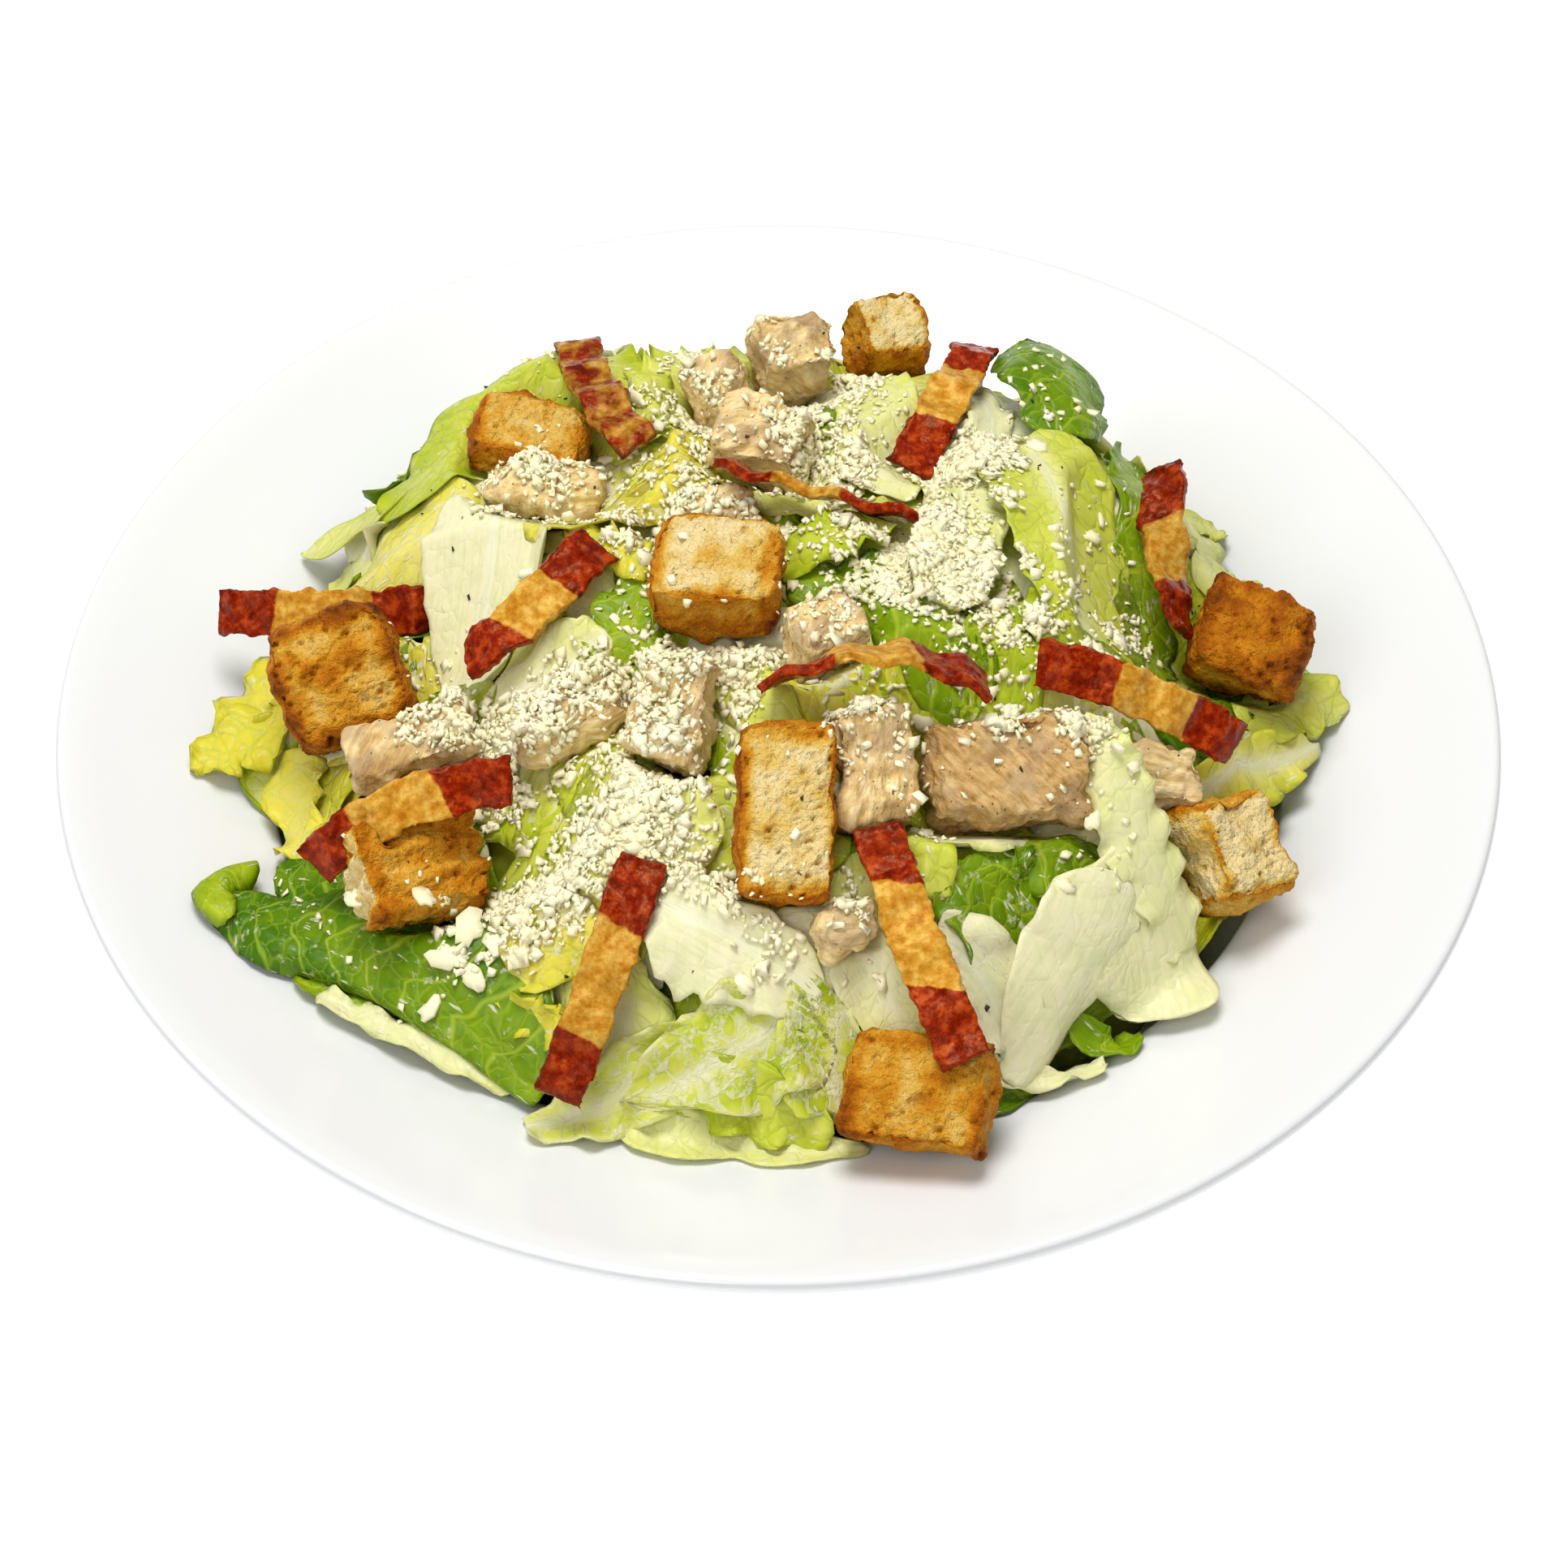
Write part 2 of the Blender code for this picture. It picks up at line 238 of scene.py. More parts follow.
def sample(grid, x, y):
    """A grid's value at any places, smoothly."""
    u = np.clip((np.asarray(x) + REACH) / CELL, 0, len(AXIS) - 1.001)
    v = np.clip((np.asarray(y) + REACH) / CELL, 0, len(AXIS) - 1.001)
    i, j = u.astype(int), v.astype(int)
    a, b = u - i, v - j
    low = grid[i, j] * (1 - b) + grid[i, j + 1] * b
    high = grid[i + 1, j] * (1 - b) + grid[i + 1, j + 1] * b
    return low * (1 - a) + high * a


def spread_limit(grid, slope, times):
    """Lowers each cell to its neighbours' height plus the slope times the distance."""
    for _ in range(times):
        padded = np.pad(grid, 1, mode="edge")
        for i, j in np.ndindex(3, 3):
            away = math.hypot(i - 1, j - 1) * CELL * slope
            grid = np.minimum(grid, padded[i : i + len(AXIS), j : j + len(AXIS)] + away)
    return grid


def topping_limit(names):
    """How high leaves may reach to stay under toppings, which press their surroundings down too."""
    return spread_limit(heights(tree_of_nodes(*names), 0.0, UP, SKY), 0.9, 16)


TOPPINGS = CROUTONS + CHICKEN + BACON
DISH = heights(tree_of_nodes("bowl"), SKY, DOWN, 0.0)
HEAP_SURFACE = heights(tree_of_nodes("salad_heap"), SKY, DOWN, 0.0)
HEAP_TOP = np.maximum(blur(np.maximum(HEAP_SURFACE, DISH), 6), DISH)
LIMIT = topping_limit(TOPPINGS)
# Some leaves lie over the end of the far left strip, but under every other topping.
UPPER_LIMIT = topping_limit([name for name in TOPPINGS if name != "bacon_far_left"])
SECTORS = 120


def heap_outline():
    """The heap's radius in each sector."""
    x, y = np.meshgrid(AXIS, AXIS, indexing="ij")
    inside = HEAP_SURFACE > 0
    sector = ((np.arctan2(y, x) + math.pi) / (2 * math.pi) * SECTORS).astype(int) % SECTORS
    radius = np.array([np.hypot(x, y)[inside & (sector == k)].max() for k in range(SECTORS)])
    return (np.roll(radius, 1) + 2 * radius + np.roll(radius, -1)) / 4


OUTLINE = heap_outline()


def keep_in(x, y, margin):
    """How much to draw places in towards the middle to keep them inside the heap's outline."""
    radius = np.maximum(np.hypot(x, y), 1.0)
    sector = (np.arctan2(y, x) + math.pi) / (2 * math.pi) * SECTORS - 0.5
    around = np.arange(-1, SECTORS + 1)
    allowed = np.interp(sector, around, np.take(OUTLINE, around, mode="wrap")) - margin
    return (radius - 0.9 * np.maximum(radius - allowed, 0)) / radius


def heap_normal(x, y):
    step = 4.0
    across = (sample(HEAP_TOP, x + step, y) - sample(HEAP_TOP, x - step, y)) / (2 * step)
    along = (sample(HEAP_TOP, x, y + step) - sample(HEAP_TOP, x, y - step)) / (2 * step)
    return unit(np.stack([-across, -along, np.ones_like(across)], -1))


# ---- materials ----------------------------------------------------------------------------------

def srgb(red, green, blue):
    """A colour given as on a screen, from 0 to 255, as the linear values that shaders take."""
    values = [c / 255 for c in (red, green, blue)]
    return [c / 12.92 if c < 0.04045 else ((c + 0.055) / 1.055) ** 2.4 for c in values] + [1.0]


class Shading:
    """Short ways to add nodes to one material."""

    def __init__(self, name):
        self.material = bpy.data.materials.new(name)
        self.material.use_nodes = True
        self.nodes = self.material.node_tree.nodes
        self.links = self.material.node_tree.links
        self.shader = self.nodes["Principled BSDF"]

    def plug(self, socket, value):
        if isinstance(value, bpy.types.NodeSocket):
            self.links.new(value, socket)
        else:
            socket.default_value = value

    def node(self, kind, *inputs, **settings):
        """Adds a node. Inputs are (name or number, value or socket) pairs."""
        made = self.nodes.new("ShaderNode" + kind)
        for key, value in settings.items():
            setattr(made, key, value)
        for key, value in inputs:
            self.plug(made.inputs[key], value)
        return made

    def math(self, operation, a, b=0.0):
        return self.node("Math", (0, a), (1, b), operation=operation).outputs[0]

    def vary(self, value, noise, amount):
        """A value moved up and down by noise around 0.5."""
        return self.math("ADD", value, self.math("MULTIPLY", self.math("SUBTRACT", noise, 0.5), amount))

    def times(self, a, b):
        return self.math("MULTIPLY", a, b)

    def stretched(self, vector, *scale):
        return self.node("Mapping", ("Vector", vector), ("Scale", scale)).outputs[0]

    def object_place(self):
        return self.node("TexCoord").outputs["Object"]

    def attribute(self, name, output="Fac"):
        return self.node("Attribute", attribute_name=name).outputs[output]

    def noise(self, vector, scale, detail=2.0, roughness=0.5):
        return self.node(
            "TexNoise", ("Vector", vector), ("Scale", scale), ("Detail", detail), ("Roughness", roughness)
        ).outputs["Fac"]

    def cells(self, vector, scale, feature="DISTANCE_TO_EDGE"):
        made = self.node("TexVoronoi", ("Vector", vector), ("Scale", scale), feature=feature)
        return made.outputs["Distance"]

    def ramp(self, value, *stops):
        """A colour ramp. Stops are (place, colour) or (place, grey) pairs."""
        made = self.nodes.new("ShaderNodeValToRGB")
        elements = made.color_ramp.elements
        while len(elements) < len(stops):
            elements.new(0.5)
        for element, (place, colour) in zip(elements, stops):
            element.position = place
            element.color = colour if isinstance(colour, list) else [colour] * 3 + [1.0]
        self.plug(made.inputs["Fac"], value)
        return made.outputs["Color"]

    def mix(self, amount, first, second, blend="MIX"):
        made = self.node("Mix", data_type="RGBA", blend_type=blend)
        self.plug(made.inputs[0], amount)
        self.plug(made.inputs[6], first)
        self.plug(made.inputs[7], second)
        return made.outputs[2]

    def relief(self, *layers):
        """Bumps from (height, millimetres) pairs, added up first so that they cost one bump."""
        total = 0.0
        for height, millimetres in layers:
            layer = self.node("Math", (0, height), (1, millimetres), (2, total), operation="MULTIPLY_ADD")
            total = layer.outputs[0]
        return self.node("Bump", ("Height", total), ("Distance", MM)).outputs["Normal"]

    def finish(self, **inputs):
        """Sets the Principled shader's inputs, with underscores for spaces."""
        for key, value in inputs.items():
            self.plug(self.shader.inputs[key.replace("_", " ")], value)
        return self.material

    def add_translucent(self, share, colour):
        """Lets some of the light through a thin sheet."""
        thin = self.node("BsdfTranslucent", ("Color", colour))
        mixed = self.node("MixShader", (0, share), (1, self.shader.outputs[0]), (2, thin.outputs[0]))
        self.links.new(mixed.outputs[0], self.nodes["Material Output"].inputs["Surface"])


def porcelain():
    """White glaze, with painted shade: greyer over the outer and lower side of the lip."""
    look = Shading("porcelain")
    colour = look.mix(look.attribute("lip"), srgb(235, 237, 240), srgb(176, 179, 186))
    return look.finish(Base_Color=colour, Roughness=0.16, IOR=1.5, Coat_Weight=0.3, Coat_Roughness=0.06)


def lettuce():
    """Romaine. The vector attribute "leaf" holds millimetres along and across the leaf and a number
    of its own; "tone" runs from white rib to deep green; "sauce" is how much dressing clings."""
    look = Shading("romaine")
    place = look.attribute("leaf", "Vector")
    split = look.node("SeparateXYZ", (0, place))
    along, across = split.outputs[0], split.outputs[1]
    tone = look.attribute("tone")
    rib = look.attribute("rib")
    sauce = look.attribute("sauce")
    drift = look.noise(place, 0.13, 1.0)
    # Side veins leave the rib at a slant, about 9 mm apart.
    slant = look.math("SUBTRACT", along, look.times(look.math("ABSOLUTE", across), 0.9))
    slant = look.math("ADD", slant, look.times(drift, 9.0))
    wave = look.math("DIVIDE", look.math("PINGPONG", slant, 4.6), 4.6)
    side_vein = look.ramp(wave, (0.0, 1.0), (0.07, 0.7), (0.15, 0.0))
    wander = look.node("TexNoise", ("Vector", place), ("Scale", 0.4), ("Detail", 1.0)).outputs["Color"]
    warped = look.node("VectorMath", (0, wander), (1, (2.4, 2.4, 0.0)), (2, place), operation="MULTIPLY_ADD")
    web_distance = look.cells(warped.outputs[0], 0.26)
    web = look.ramp(web_distance, (0.0, 0.5), (0.03, 0.35), (0.075, 0.0))
    veins = look.math("MAXIMUM", side_vein, web)
    blade = look.times(look.math("SUBTRACT", 1.0, rib), look.ramp(tone, (0.0, 0.3), (0.45, 1.0)))
    veins = look.times(veins, blade)
    blotch = look.noise(place, 0.22, 3.0, 0.6)
    shade = look.vary(tone, blotch, 0.34)
    fresh = look.ramp(
        shade,
        (0.00, srgb(240, 234, 198)),
        (0.16, srgb(238, 236, 182)),
        (0.32, srgb(238, 240, 144)),
        (0.46, srgb(228, 232, 96)),
        (0.62, srgb(200, 214, 44)),
        (0.80, srgb(142, 176, 8)),
        (1.00, srgb(78, 126, 0)),
    )
    ripe = look.ramp(shade, (0.0, srgb(248, 240, 184)), (0.35, srgb(242, 230, 80)), (0.7, srgb(218, 214, 24)))
    green = look.mix(look.attribute("gold"), fresh, ripe)
    pale = look.ramp(
        shade,
        (0.0, srgb(240, 240, 190)),
        (0.45, srgb(206, 214, 80)),
        (0.62, srgb(180, 202, 40)),
        (0.80, srgb(192, 210, 60)),
        (1.0, srgb(172, 202, 50)),
    )
    colour = look.mix(look.times(veins, 0.7), green, pale)
    colour = look.mix(rib, colour, srgb(240, 240, 210))
    fibres = look.noise(look.stretched(place, 0.08, 1.0, 1.0), 0.9, 3.0, 0.6)
    watery = look.ramp(look.vary(fibres, blotch, 0.8), (0.42, 0.0), (0.66, 0.55))
    watery = look.times(watery, look.ramp(tone, (0.1, 1.0), (0.35, 0.0)))
    colour = look.mix(watery, colour, srgb(216, 221, 168))
    # Dressing: a thin film, pools in the hollows and streaks along the leaf.
    film = look.noise(place, 0.30, 4.0, 0.62)
    film_amount = look.vary(film, sauce, 0.22)
    thin_film = look.ramp(film_amount, (0.63, 0.0), (0.68, 0.6), (0.76, 0.95))
    hollow = look.math("ADD", web_distance, look.times(film, 0.62))
    pooled = look.ramp(hollow, (0.33, 0.95), (0.40, 0.0))
    pooled = look.times(pooled, look.ramp(sauce, (0.72, 0.0), (0.9, 1.0)))
    stretched = look.stretched(place, 0.3, 1.3, 1.0)
    streak = look.math("ADD", look.noise(stretched, 0.8, 3.0), look.times(sauce, 0.14))
    streak = look.ramp(streak, (0.72, 0.0), (0.755, 0.9))
    cream = look.math("MAXIMUM", look.math("MAXIMUM", thin_film, streak), pooled)
    colour = look.mix(look.times(cream, 0.8), colour, srgb(246, 242, 212))
    # Crumbled cheese lies so thick in places that no green shows between the grains.
    crumbs = look.vary(look.attribute("cheese"), film, 0.9)
    colour = look.mix(look.ramp(crumbs, (0.45, 0.0), (0.75, 0.92)), colour, srgb(250, 244, 206))
    puckers = look.times(look.ramp(web_distance, (0.0, 0.0), (0.22, 0.8), (0.5, 1.0)), blade)
    normal = look.relief(
        (puckers, 0.20), (veins, -0.10), (film, 0.10), (cream, 0.12),
        (look.times(fibres, look.math("SUBTRACT", 1.0, blade)), 0.35),
    )
    roughness = look.ramp(cream, (0.0, 0.34), (1.0, 0.24))
    look.finish(Base_Color=colour, Roughness=roughness, Normal=normal, Specular_IOR_Level=0.24)
    glow = look.mix(0.7, colour, srgb(236, 240, 80), "MULTIPLY")
    look.add_translucent(look.ramp(tone, (0.1, 0.06), (0.4, 0.22)), glow)
    return look.material


def shaded_core_leaf():
    """Leaf green darkened as painted shade, for the depths between the other leaves."""
    look = Shading("romaine_depths_painted_shade")
    place = look.object_place()
    mottled = look.noise(place, 90.0, 3.0)
    # Painted shade: these greens are darker than the leaves above them.
    colour = look.ramp(
        mottled, (0.35, srgb(84, 92, 12)), (0.6, srgb(130, 138, 30)), (0.75, srgb(190, 192, 90))
    )
    normal = look.relief((mottled, 2.0))
    return look.finish(Base_Color=colour, Roughness=0.5, Normal=normal, Specular_IOR_Level=0.2)


def bread():
    """Toasted bread. "toast" runs from pale crumb to dark crust."""
    look = Shading("crouton")
    place = look.object_place()
    toast = look.attribute("toast")
    speckle = look.noise(place, 800.0, 3.0, 0.6)
    patch = look.noise(place, 210.0, 3.0, 0.6)
    value = look.vary(toast, speckle, 0.22)
    value = look.vary(value, patch, 0.58)
    colour = look.ramp(
        value,
        (0.00, srgb(238, 217, 160)),
        (0.20, srgb(227, 192, 102)),
        (0.38, srgb(214, 156, 46)),
        (0.54, srgb(198, 124, 18)),
        (0.74, srgb(162, 86, 6)),
        (1.00, srgb(88, 36, 2)),
    )
    holes = look.cells(place, 520.0, "F1")
    pores = look.ramp(holes, (0.05, 0.0), (0.5, 1.0))
    sponge = look.noise(place, 1300.0, 2.0, 0.7)
    normal = look.relief((pores, 0.4), (sponge, 0.85), (speckle, 0.5))
    # Painted shade: the middles of the pores are darkened.
    deep = look.ramp(holes, (0.04, 0.5), (0.20, 0.0))
    shade = look.mix(deep, colour, srgb(214, 150, 70), "MULTIPLY")
    look.finish(Base_Color=shade, Roughness=0.6, Normal=normal)
    return look.finish(Specular_IOR_Level=0.2, Specular_Tint=srgb(255, 226, 180))


def fried_bacon():
    """Bacon. "meat" is 1 in the lean and 0 in the fat, "char" is how dark it is fried."""
    look = Shading("bacon")
    place = look.object_place()
    meat = look.attribute("meat")
    char = look.attribute("char")
    grain = look.noise(place, 420.0, 5.0, 0.65)
    streaks = look.noise(place, 190.0, 4.0, 0.6)
    edge = look.vary(meat, streaks, 0.7)
    lean_mask = look.ramp(edge, (0.42, 0.0), (0.60, 1.0))
    lean = look.ramp(grain, (0.34, srgb(88, 8, 0)), (0.50, srgb(138, 27, 1)), (0.64, srgb(178, 66, 15)))
    fat = look.ramp(grain, (0.32, srgb(172, 100, 10)), (0.48, srgb(200, 142, 40)), (0.68, srgb(230, 190, 92)))
    colour = look.mix(lean_mask, fat, lean)
    marbling = look.ramp(look.noise(place, 300.0, 4.0, 0.7), (0.62, 0.0), (0.72, 0.55))
    colour = look.mix(look.times(marbling, lean_mask), colour, srgb(206, 104, 52))
    dark = look.times(char, look.ramp(streaks, (0.35, 1.0), (0.65, 0.45)))
    colour = look.mix(dark, colour, srgb(60, 10, 3))
    bubbles = look.cells(place, 360.0, "SMOOTH_F1")
    normal = look.relief((bubbles, 0.55), (grain, 0.3))
    look.finish(Base_Color=colour, Roughness=0.22, Normal=normal)
    return look.finish(Specular_IOR_Level=0.28, Specular_Tint=srgb(255, 196, 140))


def grilled_chicken():
    """Chicken. The vector attribute "fibre" runs along the meat's grain, "brown" is grilled, plus painted
    shade on the downward faces.
    """
    look = Shading("chicken")
    fibre = look.attribute("fibre", "Vector")
    brown = look.attribute("brown")
    stretched = look.stretched(fibre, 0.16, 0.9, 0.9)
    strands = look.noise(stretched, 1.0, 4.0, 0.6)
    patch = look.noise(fibre, 0.22, 4.0, 0.62)
    flesh = look.ramp(
        strands, (0.30, srgb(204, 168, 100)), (0.5, srgb(234, 206, 146)), (0.7, srgb(247, 231, 186))
    )
    value = look.vary(brown, patch, 1.1)
    grill_and_shade = look.ramp(value, (0.34, 0.0), (0.60, 0.7), (0.95, 1.0))
    colour = look.mix(grill_and_shade, flesh, look.ramp(strands, (0.3, srgb(150, 104, 46)), (0.7, srgb(210, 170, 104))))
    grey = look.ramp(look.noise(fibre, 0.14, 2.0), (0.50, 0.0), (0.62, 0.6))
    colour = look.mix(grey, colour, srgb(178, 150, 116))
    crumbs = look.vary(look.attribute("cheese"), patch, 0.9)
    colour = look.mix(look.ramp(crumbs, (0.5, 0.0), (0.8, 0.9)), colour, srgb(250, 244, 206))
    flecks = look.cells(fibre, 0.6, "F1")
    pepper = look.ramp(look.math("ADD", flecks, look.times(patch, 0.16)), (0.155, 1.0), (0.19, 0.0))
    colour = look.mix(look.times(pepper, 0.85), colour, srgb(46, 38, 34))
    normal = look.relief((strands, 0.65), (patch, 0.5))
    look.finish(Base_Color=colour, Roughness=0.46, Normal=normal)
    return look.finish(Specular_IOR_Level=0.28, Specular_Tint=srgb(255, 236, 206))


def cheese():
    look = Shading("grated_cheese")
    place = look.object_place()
    colour = look.ramp(look.noise(place, 160.0, 1.0), (0.3, srgb(246, 239, 196)), (0.7, srgb(253, 249, 219)))
    return look.finish(Base_Color=colour, Roughness=0.6, Specular_IOR_Level=0.15)


def black_pepper():
    return Shading("pepper").finish(Base_Color=srgb(48, 38, 32), Roughness=0.6)


def table():
    look = Shading("table")
    look.nodes.remove(look.shader)
    plain = look.node("BsdfDiffuse", ("Color", (1.0, 1.0, 1.0, 1.0)))
    light = look.node("Emission", ("Color", (1.0, 1.0, 1.0, 1.0)), ("Strength", 0.7))
    both = look.node("AddShader", (0, plain.outputs[0]), (1, light.outputs[0]))
    look.links.new(both.outputs[0], look.nodes["Material Output"].inputs["Surface"])
    return look.material


# ---- bowl ---------------------------------------------------------------------------------------

FLOOR_RADIUS = 56.0
FLOOR_HEIGHT = 7.5
WELL_RADIUS = 100.6
WELL_HEIGHT = 35.4
WELL_ARC_END = math.radians(76)
WALL = 4.2
LIP_RADIUS = 1.7


def bezier(points, share):
    """A quadratic curve through three points, at any shares of its length."""
    start, middle, end = (np.asarray(p, float) for p in points)
    bow = 2 * middle - (start + end) / 2
    share = np.asarray(share)[..., None]
    return start * (1 - share) ** 2 + bow * 2 * share * (1 - share) + end * share**2


def build_bowl():
    """The bowl's profile, smooth, revolved in fine steps."""
    reach = (WELL_RADIUS - FLOOR_RADIUS) / math.sin(WELL_ARC_END)
    rise = (WELL_HEIGHT - FLOOR_HEIGHT) / (1 - math.cos(WELL_ARC_END))
    profile = [(radius, FLOOR_HEIGHT) for radius in (0.0, 30.0, 54.0)]
    for step in range(17):
        turn = WELL_ARC_END * step / 16
        profile.append((FLOOR_RADIUS + reach * math.sin(turn), FLOOR_HEIGHT + rise * (1 - math.cos(turn))))
    # The well turns over into the rim in a soft edge.
    corner = np.array(profile.pop())
    lip = (RIM_RADIUS - LIP_RADIUS, RIM_HEIGHT - LIP_RADIUS)
    outer = np.array((lip[0] - 0.6, RIM_HEIGHT - 0.5))
    before, after = corner + (-1.0, -1.1), corner + (outer - corner) * 0.06
    for share in (0.0, 0.25, 0.5, 0.75, 1.0):
        profile.append(tuple(before * (1 - share) ** 2 + corner * 2 * share * (1 - share) + after * share**2))
    profile += [tuple(corner + (outer - corner) * share) for share in (0.3, 0.6, 0.85)]
    # Painted shade: the outer and lower side of the lip's bead is greyed in the glaze colour.
    painted_shade_profile = [0.0] * len(profile)
    for degrees in range(105, -91, -15):
        painted_shade_profile.append(float(np.interp(degrees, (-20, 5, 45, 65), (1.0, 0.3, 0.6, 0.0))))
        turn = math.radians(degrees)
        profile.append((lip[0] + LIP_RADIUS * math.cos(turn), lip[1] + LIP_RADIUS * math.sin(turn)))
    under = [
        (WELL_RADIUS + 6.0, WELL_HEIGHT - WALL + 1.2), (WELL_RADIUS + 1.2, WELL_HEIGHT - WALL - 4.0),
        (WELL_RADIUS - 3.0, WELL_HEIGHT - WALL - 13.0), (WELL_RADIUS - 12.0, FLOOR_HEIGHT + 4.0),
        (72.0, 4.0), (60.0, 2.9), (58.4, 2.3), (58.0, 0.5), (57.4, 0.0), (53.1, 0.0), (52.5, 0.5),
        (52.2, 2.2), (51.0, 2.7), (0.0, 3.2),
    ]
    profile = np.array(profile + under)
    steps = 200
    turns = np.arange(steps) * 2 * math.pi / steps
    rings = profile[1:-1]
    verts = np.stack([
        rings[:, None, 0] * np.cos(turns), rings[:, None, 0] * np.sin(turns),
        np.broadcast_to(rings[:, None, 1], (len(rings), steps)),
    ], -1).reshape(-1, 3)
    k = np.arange(len(rings) - 1)[:, None] * steps
    a = np.arange(steps)[None, :]
    b = (a + 1) % steps
    quads = np.stack([k + a, k + steps + a, k + steps + b, k + b], -1).reshape(-1, 4)
    # The poles are closed with thin quads, each side of which meets at the centre.
    top, base = len(verts), len(verts) + 1
    verts = np.concatenate([verts, [(0, 0, profile[0, 1]), (0, 0, profile[-1, 1])]])
    last = (len(rings) - 1) * steps
    caps = [(top, i, (i + 1) % steps, (i + 2) % steps) for i in range(0, steps, 2)]
    caps += [(base, last + (i + 2) % steps, last + (i + 1) % steps, last + i) for i in range(0, steps, 2)]
    painted_shade_profile += [0.0] * len(under)
    painted_shade_per_vertex = np.append(np.repeat(painted_shade_profile[1:-1], steps), (0, 0))
    faces = np.concatenate([quads, caps])
    bowl = make_object("porcelain_bowl", verts, faces, {"lip": painted_shade_per_vertex}, porcelain())
    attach(bowl, "root")
    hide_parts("bowl")


# ---- romaine ------------------------------------------------------------------------------------

# What a leaf may lie over, where it doesn't stay under every topping.
ANY_TOPPING, FAR_LEFT_STRIP = 1, 2


def leaf(spine, widths, tones, **habits):
    """One row of the table below."""
    return spine, widths, tones, habits


